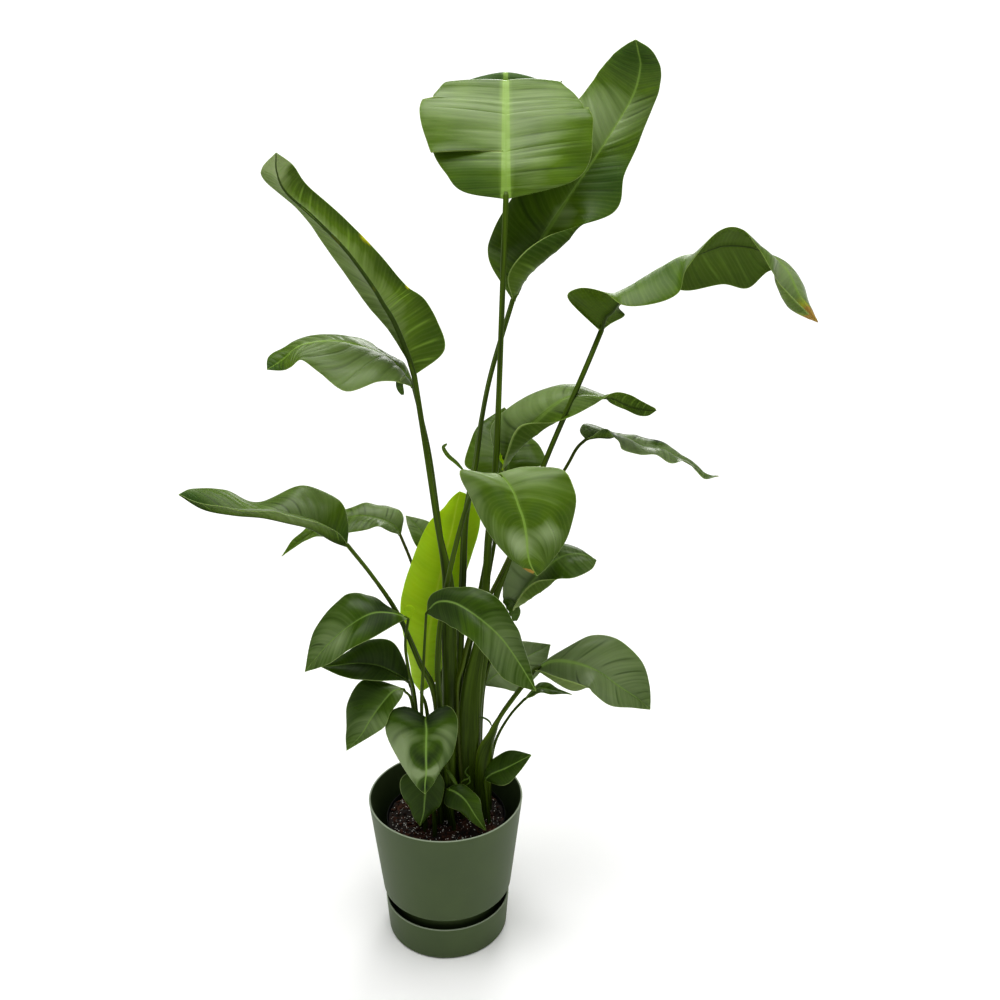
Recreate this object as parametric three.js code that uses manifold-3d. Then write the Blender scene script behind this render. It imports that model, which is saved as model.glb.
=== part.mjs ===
// A potted bird of paradise (Strelitzia nicolai), in millimetres, +Z up. The origin is the centre of the
// saucer's flat underside. The camera of the reference view looks along +Y with +X to the right.
// The plant is a clump of leaves. Each leaf is one piece: a long stalk that stands in a hole in the soil and
// a blade with a midrib. The soil fills a black grow pot, which stands in a plastic pot with its own saucer.

import * as THREE from 'three';
import { mergeVertices } from 'three/addons/utils/BufferGeometryUtils.js';
import Module from 'manifold-3d';

const wasm = await Module();
wasm.setup();

// Pot and saucer: a plastic pot of the common 25 cm size
const RIM_RADIUS = 123;
const POT_HEIGHT = 240;
const POT_WALL = 3;
const CONE_FOOT_RADIUS = 105.5;
const CONE_FOOT_HEIGHT = 88;
const FOOT_RADIUS = 86;
const FOOT_TOP = 74;
const SAUCER_BASE_RADIUS = 97.5;
const SAUCER_RIM_RADIUS = 101.3;
const SAUCER_HEIGHT = 58.8;
const SAUCER_WALL = 3;
const SAUCER_FLOOR = 4;
const POT_FLOOR = 4;
const CLEARANCE = 0.3;
const ROUND_SEGMENTS = 40;

// Grow pot and soil
const GROW_RIM_RADIUS = 96;
const GROW_BASE_RADIUS = 74;
const GROW_RIM_HEIGHT = 203;
const GROW_WALL = 2;
const SOIL_HEIGHT = 196;
const SOIL_HEAP = 7;
const SOIL_ROUGHNESS = 2.2;
const SOIL_SEGMENTS = 30;
const SOIL_RINGS = 6;

// Leaves
const STALK_FOOT_HEIGHT = 152;
const STALK_COLLAR_HEIGHT = 212;
const HOLE_CLEARANCE = 0.45;
const HOLE_SIDES = 10;
const BLADE_THICKNESS = 1.2;
const BLADE_BULGE = 0.1;
const BLADE_START = 0.035;
const BLADE_END = 0.975;
const LARGE_LEAF = { columns: [0.35, 0.7, 1], stations: 13, stalkRings: 5 };
const SMALL_LEAF = { columns: [0.5, 1], stations: 8, stalkRings: 3 };

// Each leaf's places: read by eye at the pot's scale, set in depth by hand, then worked out in millimetres
// and rounded. foot is where its stalk stands in the soil, stalk the points that the stalk passes, base and
// tip the ends of the blade. Each row crosses the blade: left edge, midrib, right edge and, where the right
// half is folded over, the line along which it folds. ripple is the height of the waves of the edges, and
// waves their number on a side.
const LEAVES = [
  {
    name: 'leaf_top_centre', foot: [35, 2], footRadius: 8.5, neckRadius: 4, ripple: 3, waves: 3, large: true,
    stalk: [[40, 5, 405], [55, 10, 500], [65, 10, 585], [70, 10, 675],
      [80, 10, 775], [85, 15, 880], [90, 20, 1020]],
    base: [95, 30, 1155], tip: [95, 335, 1300],
    rows: [
      [[55, 45, 1155], [95, 35, 1175], [135, 45, 1155]],
      [[15, 60, 1175], [95, 50, 1200], [190, 60, 1175]],
      [[-20, 100, 1225], [95, 75, 1240], [215, 90, 1230]],
      [[-25, 130, 1275], [95, 100, 1275], [210, 115, 1270]],
      [[-5, 160, 1305], [95, 125, 1310], [195, 145, 1305]],
      [[10, 215, 1310], [95, 190, 1320], [180, 215, 1310]],
      [[40, 270, 1305], [95, 260, 1320], [150, 270, 1305]],
    ],
  },
  {
    name: 'leaf_top_right', foot: [16, 8], footRadius: 8.5, neckRadius: 4, ripple: 3, waves: 4, large: true,
    stalk: [[20, 15, 395], [25, 20, 500], [30, 30, 600], [35, 40, 695],
      [50, 50, 775], [60, 55, 845], [75, 65, 915]],
    base: [105, 70, 1015], tip: [290, 195, 1370],
    rows: [
      [[70, 90, 1075], [125, 85, 1055], [100, 35, 1060], [130, 55, 1055]],
      [[85, 125, 1125], [150, 105, 1105], [150, 45, 1105], [185, 70, 1100]],
      [[145, 165, 1205], [190, 130, 1160], [250, 110, 1130]],
      [[195, 195, 1270], [240, 160, 1225], [285, 150, 1200]],
      [[230, 205, 1320], [275, 180, 1280], [310, 170, 1280]],
      [[265, 205, 1360], [295, 190, 1325], [320, 180, 1325]],
    ],
  },
  {
    name: 'leaf_top_left', foot: [5, -12], footRadius: 8, neckRadius: 4, ripple: 3, waves: 4, large: true,
    stalk: [[10, -10, 415], [10, -10, 515], [10, -5, 600], [5, -5, 645], [-5, -10, 710], [-20, -10, 830]],
    base: [-30, -10, 920], tip: [-180, -120, 1215],
    rows: [
      [[0, 25, 935], [-40, -20, 960], [-50, 20, 950]],
      [[5, 35, 965], [-55, -30, 1000], [-70, 25, 980]],
      [[-30, 20, 1030], [-80, -50, 1050], [-110, 10, 1040]],
      [[-75, -15, 1090], [-110, -70, 1095], [-145, -30, 1100]],
      [[-120, -40, 1140], [-145, -90, 1135], [-175, -55, 1145]],
      [[-155, -70, 1175], [-170, -110, 1165], [-205, -80, 1180]],
    ],
  },
  {
    name: 'leaf_upper_left', foot: [-2, 14], footRadius: 6.5, neckRadius: 3.5, ripple: 4, waves: 4, large: true,
    stalk: [[0, 15, 400], [5, 15, 505], [10, 15, 590], [0, 15, 670], [-15, 20, 800]],
    base: [-35, 15, 900], tip: [-230, -35, 930],
    rows: [
      [[-55, -20, 910], [-55, 10, 930], [-50, 40, 935]],
      [[-95, -45, 910], [-80, 10, 950], [-75, 50, 950]],
      [[-130, -60, 910], [-120, 0, 960], [-120, 45, 965]],
      [[-170, -50, 945], [-160, -10, 970], [-165, 30, 965]],
      [[-185, -45, 955], [-190, -20, 960], [-205, 10, 960]],
      [[-215, -40, 960], [-210, -30, 945], [-205, -10, 935]],
    ],
  },
  {
    name: 'leaf_right_long', foot: [48, 19], footRadius: 8, neckRadius: 4, ripple: 3, waves: 5, large: true,
    stalk: [[50, 20, 355], [55, 20, 415], [65, 20, 485], [80, 10, 575],
      [100, 5, 640], [150, 0, 790], [205, 5, 925]],
    base: [225, 10, 980], tip: [515, -45, 1000],
    rows: [
      [[185, -10, 1020], [240, 15, 1010], [265, 35, 1000]],
      [[205, 20, 1040], [265, 15, 1040], [275, -20, 1015]],
      [[285, 65, 1050], [305, 10, 1070], [310, -45, 1030]],
      [[350, 40, 1035], [345, 0, 1085], [325, -50, 1065]],
      [[400, 25, 1045], [385, -5, 1095], [375, -45, 1110]],
      [[435, 15, 1040], [420, -10, 1095], [405, -45, 1120]],
      [[460, 5, 1065], [445, -15, 1090], [440, -50, 1090]],
      [[505, 5, 1045], [470, -20, 1070], [460, -55, 1050], [460, -35, 1050]],
      [[510, -10, 1020], [485, -35, 1035], [485, -60, 1025], [480, -40, 1020]],
    ],
  },
  {
    name: 'leaf_mid_right', foot: [30, 26], footRadius: 6.5, neckRadius: 3.5, ripple: 2, waves: 3, large: true,
    stalk: [[35, 35, 390], [55, 40, 495], [65, 45, 575], [80, 45, 665]],
    base: [90, 40, 765], tip: [315, 40, 855],
    rows: [
      [[80, 60, 790], [105, 40, 805], [95, 20, 795], [115, 25, 800]],
      [[75, 65, 835], [125, 40, 835], [115, 10, 840], [135, 25, 825]],
      [[125, 80, 875], [155, 45, 865], [160, 20, 845], [175, 30, 850]],
      [[185, 85, 895], [195, 50, 880], [220, 30, 870]],
      [[240, 80, 880], [235, 50, 880], [235, 20, 880]],
      [[275, 60, 855], [275, 45, 870], [280, 30, 885]],
    ],
  },
  {
    name: 'leaf_mid_back', foot: [14, 46], footRadius: 6, neckRadius: 3.5, ripple: 2, waves: 3,
    stalk: [[22, 50, 382], [40, 56, 484], [56, 60, 566], [74, 64, 658]],
    base: [100, 66, 748], tip: [94, 150, 840],
    rows: [
      [[64, 66, 756], [100, 74, 766], [130, 64, 764]],
      [[34, 84, 766], [98, 90, 788], [158, 76, 772]],
      [[44, 108, 804], [96, 112, 810], [146, 104, 790]],
      [[66, 132, 826], [94, 136, 828], [118, 128, 812]],
    ],
  },
  {
    name: 'leaf_front_large', foot: [10, -30], footRadius: 5, neckRadius: 3, ripple: 2, waves: 3, large: true,
    stalk: [[-5, -35, 430], [-5, -35, 515], [5, -40, 595], [25, -55, 690], [45, -65, 760], [65, -75, 790]],
    base: [85, -80, 800], tip: [135, -165, 685],
    rows: [
      [[125, -85, 810], [95, -95, 795], [55, -80, 805]],
      [[170, -100, 815], [110, -115, 780], [35, -95, 810]],
      [[190, -120, 775], [115, -130, 760], [45, -110, 785]],
      [[180, -140, 730], [125, -145, 730], [70, -130, 730]],
      [[155, -155, 700], [125, -155, 705], [100, -150, 705]],
    ],
  },
  {
    name: 'leaf_right_twisted', foot: [27, -14], footRadius: 4.5, neckRadius: 2.5, ripple: 3, waves: 5,
    stalk: [[20, -14, 418], [30, -14, 478], [42, -14, 526], [58, -14, 560], [72, -14, 592],
      [88, -14, 626], [104, -12, 660], [130, -8, 702], [180, 12, 778], [198, 22, 808]],
    base: [216, 30, 820], tip: [404, 4, 770],
    rows: [
      [[208, 42, 840], [232, 30, 828], [232, 2, 826]],
      [[254, 60, 826], [256, 28, 830], [260, -4, 814]],
      [[294, 56, 818], [290, 24, 824], [292, -8, 808]],
      [[334, 42, 810], [326, 20, 812], [322, -8, 796]],
      [[366, 30, 790], [360, 16, 792], [350, -4, 790]],
      [[390, 18, 774], [384, 10, 774], [378, 0, 770]],
    ],
  },
  {
    name: 'leaf_right_folded', foot: [52, 36], footRadius: 4.5, neckRadius: 3, ripple: 2, waves: 3,
    stalk: [[58, 38, 388], [74, 34, 470], [94, 28, 524]],
    base: [106, 24, 552], tip: [232, 16, 636],
    rows: [
      [[90, 36, 572], [120, 26, 580], [114, 2, 578], [128, 14, 570]],
      [[104, 46, 622], [148, 28, 614], [144, -2, 612], [158, 12, 594]],
      [[160, 48, 648], [180, 26, 638], [192, 4, 612]],
      [[204, 40, 648], [208, 22, 644], [222, 6, 624]],
    ],
  },
  {
    name: 'leaf_far_left', foot: [-7, -24], footRadius: 6.5, neckRadius: 3.5, ripple: 3, waves: 4, large: true,
    stalk: [[-10, -25, 415], [-35, -25, 490], [-65, -20, 565], [-100, -20, 625]],
    base: [-135, -20, 675], tip: [-360, -60, 765],
    rows: [
      [[-145, -55, 710], [-155, -25, 685], [-135, 0, 700]],
      [[-170, -80, 730], [-185, -30, 705], [-150, 10, 735]],
      [[-200, -90, 745], [-215, -35, 715], [-200, 10, 755]],
      [[-240, -90, 750], [-250, -40, 725], [-265, 0, 735]],
      [[-280, -80, 750], [-290, -45, 730], [-310, -10, 755]],
      [[-325, -70, 755], [-330, -50, 740], [-345, -30, 765]],
    ],
  },
  {
    name: 'leaf_left_back', foot: [-4, 42], footRadius: 4.5, neckRadius: 2.5, ripple: 2, waves: 4,
    stalk: [[-6, 74, 368], [-14, 86, 452], [-36, 96, 536], [-54, 100, 600]],
    base: [-70, 102, 644], tip: [-254, 72, 620],
    rows: [
      [[-84, 82, 658], [-80, 104, 660], [-66, 120, 670]],
      [[-108, 72, 668], [-104, 104, 672], [-92, 128, 686]],
      [[-144, 70, 660], [-140, 102, 676], [-136, 126, 686]],
      [[-182, 68, 656], [-182, 94, 664], [-182, 112, 678]],
      [[-216, 70, 646], [-218, 84, 646], [-226, 94, 654]],
    ],
  },
  {
    name: 'leaf_back_small', foot: [14, 64], footRadius: 4.5, neckRadius: 2.5, ripple: 1, waves: 2,
    stalk: [[8, 74, 368], [10, 92, 468]],
    base: [2, 104, 576], tip: [-64, 130, 668],
    rows: [
      [[-42, 100, 622], [-18, 112, 616], [2, 122, 620]],
      [[-58, 112, 652], [-40, 120, 646], [-22, 132, 654]],
    ],
  },
  {
    name: 'leaf_new_lime', foot: [-20, 22], footRadius: 4.5, neckRadius: 2.5, ripple: 2, waves: 3,
    stalk: [[-30, 44, 356]],
    base: [-40, 52, 394], tip: [28, 64, 730],
    rows: [
      [[-58, 62, 422], [-34, 54, 442], [-4, 66, 438]],
      [[-66, 68, 500], [-24, 54, 504], [10, 70, 492]],
      [[-68, 74, 556], [-12, 56, 568], [28, 72, 568]],
      [[-48, 76, 618], [2, 56, 628], [40, 72, 622]],
      [[-22, 74, 672], [16, 60, 678], [56, 70, 686]],
    ],
  },
  {
    name: 'leaf_low_left_upper', foot: [-33, -17], footRadius: 4.5, neckRadius: 2.5, ripple: 2, waves: 2,
    stalk: [[-42, -26, 418], [-50, -30, 474], [-54, -32, 522]],
    base: [-48, -34, 564], tip: [-196, -84, 502],
    rows: [
      [[-64, -58, 566], [-72, -42, 576], [-72, -24, 576]],
      [[-94, -80, 556], [-100, -52, 580], [-108, -24, 596]],
      [[-128, -92, 542], [-130, -62, 566], [-144, -34, 600]],
      [[-160, -94, 520], [-160, -72, 542], [-182, -52, 558]],
    ],
  },
  {
    name: 'leaf_low_left_middle', foot: [-40, -2], footRadius: 4, neckRadius: 2.3, ripple: 2, waves: 2,
    stalk: [[-46, -10, 404]],
    base: [-52, -14, 448], tip: [-178, -50, 492],
    rows: [
      [[-68, -38, 464], [-70, -22, 466], [-56, -6, 474]],
      [[-94, -58, 474], [-96, -30, 484], [-78, -6, 512]],
      [[-124, -66, 480], [-126, -38, 492], [-114, -16, 520]],
      [[-150, -60, 484], [-154, -44, 492], [-154, -28, 500]],
    ],
  },
  {
    name: 'leaf_low_left_lower', foot: [-38, -31], footRadius: 4, neckRadius: 2.3, ripple: 2, waves: 2,
    stalk: [[-44, -40, 412]],
    base: [-58, -42, 452], tip: [-142, -82, 370],
    rows: [
      [[-60, -54, 444], [-74, -48, 450], [-88, -36, 462]],
      [[-76, -66, 424], [-90, -56, 434], [-122, -38, 462]],
      [[-84, -76, 408], [-106, -66, 414], [-144, -50, 428]],
      [[-106, -82, 394], [-120, -74, 392], [-144, -64, 392]],
    ],
  },
  {
    name: 'leaf_front_heart', foot: [-16, -37], footRadius: 4, neckRadius: 2.5, ripple: 2, waves: 2,
    stalk: [[-24, -42, 356]],
    base: [-22, -60, 420], tip: [-24, -112, 310],
    rows: [
      [[8, -56, 430], [-22, -74, 414], [-54, -56, 428]],
      [[26, -72, 416], [-20, -90, 400], [-80, -72, 422]],
      [[22, -88, 384], [-20, -100, 380], [-74, -88, 378]],
      [[6, -100, 348], [-22, -106, 352], [-54, -100, 340]],
      [[-10, -108, 326], [-24, -110, 330], [-38, -108, 326]],
    ],
  },
  {
    name: 'leaf_front_arching', foot: [-31, -43], footRadius: 4, neckRadius: 2.3, ripple: 2, waves: 2,
    stalk: [[-32, -44, 406], [-26, -50, 504]],
    base: [-20, -56, 582], tip: [138, -134, 498],
    rows: [
      [[-10, -56, 614], [-2, -64, 604], [-4, -72, 580]],
      [[32, -62, 628], [24, -78, 608], [22, -90, 576]],
      [[78, -78, 620], [56, -94, 594], [46, -110, 568]],
      [[110, -96, 580], [88, -110, 570], [68, -124, 546]],
      [[126, -112, 542], [114, -122, 536], [94, -132, 516]],
    ],
  },
  {
    name: 'leaf_front_drooping', foot: [-15, -55], footRadius: 3.5, neckRadius: 2.2, ripple: 2, waves: 2,
    stalk: [],
    base: [-20, -52, 328], tip: [-36, -82, 238],
    rows: [
      [[2, -52, 296], [-24, -60, 306], [-64, -52, 306]],
      [[-4, -64, 270], [-28, -70, 280], [-60, -64, 274]],
      [[-18, -74, 254], [-30, -76, 258], [-48, -74, 254]],
    ],
  },
  {
    name: 'leaf_front_lowest', foot: [14, -42], footRadius: 3.5, neckRadius: 2.2, ripple: 2, waves: 2,
    stalk: [],
    base: [4, -46, 280], tip: [66, -76, 224],
    rows: [
      [[30, -42, 286], [20, -54, 278], [0, -58, 262]],
      [[52, -52, 270], [34, -60, 268], [22, -68, 256]],
      [[60, -62, 250], [48, -68, 248], [40, -74, 242]],
    ],
  },
  {
    name: 'leaf_low_right_small', foot: [69, -24], footRadius: 3.5, neckRadius: 2.2, ripple: 2, waves: 2,
    stalk: [],
    base: [62, -20, 278], tip: [136, -30, 330],
    rows: [
      [[66, -10, 302], [76, -26, 294], [78, -38, 282]],
      [[92, -8, 320], [96, -30, 306], [98, -46, 288]],
      [[116, -14, 328], [114, -32, 318], [114, -44, 304]],
    ],
  },
  {
    name: 'leaf_low_right_large', foot: [59, -5], footRadius: 8, neckRadius: 3.5, ripple: 2, waves: 2,
    stalk: [[58, -2, 330], [88, 10, 376], [118, 24, 404]],
    base: [142, 32, 446], tip: [324, 14, 384],
    rows: [
      [[182, 50, 468], [170, 34, 460], [168, 4, 452], [164, 18, 440]],
      [[228, 58, 492], [204, 34, 458], [214, -6, 438], [198, 8, 424]],
      [[270, 54, 488], [240, 30, 444], [230, 6, 420]],
      [[310, 42, 456], [272, 24, 422], [258, 6, 396]],
      [[324, 28, 420], [302, 20, 402], [294, 6, 392]],
    ],
  },
  {
    name: 'leaf_low_back_dark', foot: [40, 42], footRadius: 5, neckRadius: 3, ripple: 2, waves: 2,
    stalk: [[46, 60, 348]],
    base: [60, 74, 394], tip: [170, 98, 456],
    rows: [
      [[68, 92, 420], [78, 80, 408], [88, 62, 396]],
      [[86, 100, 442], [106, 86, 426], [120, 66, 390]],
      [[116, 104, 460], [136, 92, 440], [156, 76, 422]],
    ],
  },
  {
    name: 'leaf_low_right_narrow', foot: [70, 14], footRadius: 4, neckRadius: 2.3, ripple: 2, waves: 2,
    stalk: [[66, 24, 292], [96, 38, 336]],
    base: [126, 50, 382], tip: [204, 58, 386],
    rows: [
      [[150, 66, 404], [148, 56, 398], [148, 42, 396]],
      [[176, 68, 396], [172, 58, 394], [170, 46, 394]],
    ],
  },
];

// Colours and finishes
const finish = (color, roughness) => new THREE.MeshStandardMaterial({ color, roughness, metalness: 0 });
const POT_GREEN = finish('#4c5941', 0.6);
const SAUCER_GREEN = finish('#44503e', 0.6);
const GROW_BLACK = finish('#161815', 0.7);
const SOIL_BROWN = finish('#3b2a1f', 0.95);
const LEAF_GREEN = finish('#4f6b2c', 0.45);
const LEAF_LIME = finish('#98b81c', 0.5);

const root = new THREE.Group();

// Adds one named piece to the object.
function addPiece(name, geometry, material) {
  const mesh = new THREE.Mesh(geometry, material);
  mesh.name = name;
  root.add(mesh);
}

// Welds a geometry's vertices and drops triangles that have shrunk to a line.
function weld(geometry) {
  geometry.deleteAttribute('normal');
  geometry.deleteAttribute('uv');
  const merged = mergeVertices(geometry, 1e-4);
  const index = merged.index.array;
  const kept = [];
  for (let i = 0; i < index.length; i += 3) {
    const [a, b, c] = [index[i], index[i + 1], index[i + 2]];
    if (a !== b && b !== c && c !== a) kept.push(a, b, c);
  }
  merged.setIndex(kept);
  return merged;
}

// Turns a welded geometry into a solid for cutting and joining.
function toSolid(geometry) {
  const vertProperties = new Float32Array(geometry.attributes.position.array);
  const triVerts = new Uint32Array(geometry.index.array);
  return new wasm.Manifold(new wasm.Mesh({ numProp: 3, vertProperties, triVerts }));
}

// Turns a solid back into a geometry.
function toGeometry(solid) {
  const mesh = solid.getMesh();
  const geometry = new THREE.BufferGeometry();
  geometry.setAttribute('position', new THREE.BufferAttribute(mesh.vertProperties, 3));
  geometry.setIndex(new THREE.BufferAttribute(mesh.triVerts, 1));
  return geometry;
}

// Spins a closed profile of [radius, height] points round the Z axis. The profile runs from the axis at the
// bottom, out and up the outside, over the rim and back down the inside to the axis.
function spin(profile, segments = ROUND_SEGMENTS) {
  const points = profile.map(([radius, height]) => new THREE.Vector2(radius, height));
  const geometry = new THREE.LatheGeometry(points, segments);
  geometry.rotateX(Math.PI / 2);
  return weld(geometry);
}

// A quarter round from one angle to another, as profile points.
function arc(radius, height, size, from, to, steps) {
  const points = [];
  for (let i = 0; i <= steps; i++) {
    const angle = THREE.MathUtils.degToRad(from + ((to - from) * i) / steps);
    points.push([radius + size * Math.cos(angle), height + size * Math.sin(angle)]);
  }
  return points;
}

// An upright pin that stands at (x, y), used to cut a hole.
function pin(x, y, radius, bottom, top, sides = HOLE_SIDES) {
  const geometry = new THREE.CylinderGeometry(radius, radius, top - bottom, sides);
  geometry.rotateX(Math.PI / 2);
  geometry.translate(x, y, (top + bottom) / 2);
  return toSolid(weld(geometry));
}

// Cuts a ring of drain holes, and one in the middle, through a floor.
function drain(solid, ringRadius, holeRadius, count, bottom, top) {
  let drained = solid.subtract(pin(0, 0, holeRadius, bottom, top));
  for (let i = 0; i < count; i++) {
    const angle = (2 * Math.PI * i) / count;
    const hole = pin(ringRadius * Math.cos(angle), ringRadius * Math.sin(angle), holeRadius, bottom, top);
    drained = drained.subtract(hole);
  }
  return drained;
}

// The saucer: a flat floor and a nearly upright wall with a rounded rim.
function makeSaucer() {
  const lip = SAUCER_WALL / 2;
  const profile = [
    [0, 0],
    [SAUCER_BASE_RADIUS - 4, 0],
    ...arc(SAUCER_BASE_RADIUS - 4, 4, 4, -60, 0, 3),
    ...arc(SAUCER_RIM_RADIUS - lip, SAUCER_HEIGHT - lip, lip, 0, 180, 4),
    [SAUCER_BASE_RADIUS - SAUCER_WALL, SAUCER_FLOOR],
    [0, SAUCER_FLOOR],
  ];
  addPiece('saucer', spin(profile), SAUCER_GREEN);
}

// The pot: a cone with a thin rounded rim, a rounded lower edge and a narrower foot that stands in the saucer.
function makePot() {
  const lip = POT_WALL / 2;
  const footBottom = SAUCER_FLOOR + CLEARANCE;
  const floorTop = footBottom + POT_FLOOR;
  const edge = 9;
  const inside = CONE_FOOT_RADIUS - POT_WALL;
  const profile = [
    [0, footBottom],
    [FOOT_RADIUS - 2, footBottom],
    [FOOT_RADIUS, footBottom + 2],
    [FOOT_RADIUS, FOOT_TOP],
    ...arc(CONE_FOOT_RADIUS - edge - 0.6, FOOT_TOP + edge + 1, edge, -90, 0, 3),
    ...arc(RIM_RADIUS - lip, POT_HEIGHT - lip, lip, 0, 180, 4),
    [inside, CONE_FOOT_HEIGHT],
    [inside - 4, FOOT_TOP + POT_WALL + 3],
    [FOOT_RADIUS - POT_WALL, FOOT_TOP + POT_WALL],
    [FOOT_RADIUS - POT_WALL, floorTop],
    [0, floorTop],
  ];
  const body = drain(toSolid(spin(profile)), 55, 5, 6, footBottom - 1, floorTop + 1);
  addPiece('pot', toGeometry(body), POT_GREEN);
  return floorTop;
}

// The grow pot: the black nursery pot that the soil fills, standing on the pot's floor.
function makeGrowPot(floor) {
  const bottom = floor + CLEARANCE;
  const profile = [
    [0, bottom],
    [GROW_BASE_RADIUS, bottom],
    [GROW_RIM_RADIUS, GROW_RIM_HEIGHT],
    [GROW_RIM_RADIUS - GROW_WALL, GROW_RIM_HEIGHT],
    [GROW_BASE_RADIUS - GROW_WALL, bottom + GROW_WALL],
    [0, bottom + GROW_WALL],
  ];
  const body = drain(toSolid(spin(profile, SOIL_SEGMENTS)), 45, 5, 6, bottom - 1, bottom + GROW_WALL + 1);
  addPiece('grow_pot', toGeometry(body), GROW_BLACK);
  return bottom + GROW_WALL;
}

// The height of the soil at a place: a low heap with lumps.
function soilHeight(x, y) {
  const radius = Math.hypot(x, y);
  const heap = SOIL_HEAP * (1 - (radius / GROW_RIM_RADIUS) ** 2);
  const lumps = Math.sin(x * 0.11 + 1.3) * Math.cos(y * 0.13) + 0.6 * Math.sin(x * 0.05 - y * 0.19);
  return SOIL_HEIGHT + heap + SOIL_ROUGHNESS * lumps;
}

// The soil: what fills the grow pot, with a lumpy top and a plain hole for each stalk.
function makeSoil(floor) {
  const bottom = floor + CLEARANCE;
  const slope = (GROW_RIM_RADIUS - GROW_BASE_RADIUS) / (GROW_RIM_HEIGHT - floor + GROW_WALL);
  const wallRadius = (height) => GROW_BASE_RADIUS - GROW_WALL - 2 * CLEARANCE + slope * (height - floor);
  const topRadius = wallRadius(SOIL_HEIGHT);
  const positions = [0, 0, soilHeight(0, 0), 0, 0, bottom];
  const ringStart = (ring) => 2 + ring * SOIL_SEGMENTS;
  for (let ring = 0; ring <= SOIL_RINGS; ring++) {
    for (let i = 0; i < SOIL_SEGMENTS; i++) {
      const angle = (2 * Math.PI * i) / SOIL_SEGMENTS;
      const onTop = ring < SOIL_RINGS;
      const radius = onTop ? (topRadius * (ring + 1)) / SOIL_RINGS : wallRadius(bottom);
      const [x, y] = [radius * Math.cos(angle), radius * Math.sin(angle)];
      positions.push(x, y, onTop ? soilHeight(x, y) : bottom);
    }
  }
  const triangles = [];
  for (let i = 0; i < SOIL_SEGMENTS; i++) {
    const j = (i + 1) % SOIL_SEGMENTS;
    triangles.push(0, ringStart(0) + i, ringStart(0) + j);
    triangles.push(1, ringStart(SOIL_RINGS) + j, ringStart(SOIL_RINGS) + i);
    for (let ring = 0; ring < SOIL_RINGS; ring++) {
      const [a, b] = [ringStart(ring) + i, ringStart(ring) + j];
      const [c, d] = [ringStart(ring + 1) + i, ringStart(ring + 1) + j];
      triangles.push(a, c, d, a, d, b);
    }
  }
  const geometry = new THREE.BufferGeometry();
  geometry.setAttribute('position', new THREE.Float32BufferAttribute(positions, 3));
  geometry.setIndex(triangles);
  let body = toSolid(geometry);
  for (const { foot, footRadius } of LEAVES) {
    const hole = pin(...foot, footRadius + HOLE_CLEARANCE, STALK_FOOT_HEIGHT - CLEARANCE, POT_HEIGHT);
    body = body.subtract(hole);
  }
  addPiece('soil', toGeometry(body), SOIL_BROWN);
}

const vector = (point) => new THREE.Vector3(...point);
const smoothCurve = (points) => new THREE.CatmullRomCurve3(points, false, 'catmullrom', 0.5);

// The five long curves that a blade is stretched over: midrib, both edges and, halfway between, the two
// curves that give each half its arch or its fold.
function bladeCurves({ base, tip, rows }) {
  const midrib = [base, ...rows.map((row) => row[1]), tip].map(vector);
  const left = [base, ...rows.map((row) => row[0]), tip].map(vector);
  const right = [base, ...rows.map((row) => row[2]), tip].map(vector);
  const halfway = (edge, side) =>
    midrib.map((middle, i) => {
      const fold = side > 0 && rows[i - 1]?.[3];
      if (fold) return vector(fold);
      const last = midrib.length - 1;
      const along = midrib[Math.min(i + 1, last)].clone().sub(midrib[Math.max(i - 1, 0)]);
      const across = edge[i].clone().sub(middle);
      const arch = across.clone().cross(along).multiplyScalar(side).normalize();
      return middle.clone().lerp(edge[i], 0.5).addScaledVector(arch, BLADE_BULGE * across.length());
    });
  return {
    midrib: smoothCurve(midrib),
    edges: [smoothCurve(left), smoothCurve(right)],
    halves: [smoothCurve(halfway(left, -1)), smoothCurve(halfway(right, 1))],
  };
}

// A point of the blade: t runs from base to tip, s from -1 at the left edge to 1 at the right edge. Each half
// is an arc from the midrib through its halfway curve to its edge.
function bladePoint({ midrib, edges, halves }, t, s) {
  const side = s < 0 ? 0 : 1;
  const u = Math.abs(s);
  const middle = midrib.getPoint(t);
  const edge = edges[side].getPoint(t);
  const bend = halves[side].getPoint(t).multiplyScalar(2).sub(middle.clone().add(edge).multiplyScalar(0.5));
  middle.multiplyScalar((1 - u) ** 2).addScaledVector(bend, 2 * u * (1 - u));
  return middle.addScaledVector(edge, u * u);
}

// The direction that the upper side faces at a point of the blade.
function bladeNormal(curves, t, s) {
  const place = THREE.MathUtils.clamp(t, 0.05, 0.95);
  const along = bladePoint(curves, place + 0.01, s).sub(bladePoint(curves, place - 0.01, s));
  const [from, to] = [Math.max(s - 0.03, -1), Math.min(s + 0.03, 1)];
  const across = bladePoint(curves, place, to).sub(bladePoint(curves, place, from));
  return across.cross(along).normalize();
}

// How high the rippled edge stands at a place.
function ripple({ ripple: height, waves }, t, s) {
  const phase = s < 0 ? 0.9 : 2.6;
  return height * s * s * Math.sqrt(Math.sin(Math.PI * t)) * Math.sin(2 * Math.PI * waves * t + phase);
}

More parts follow.
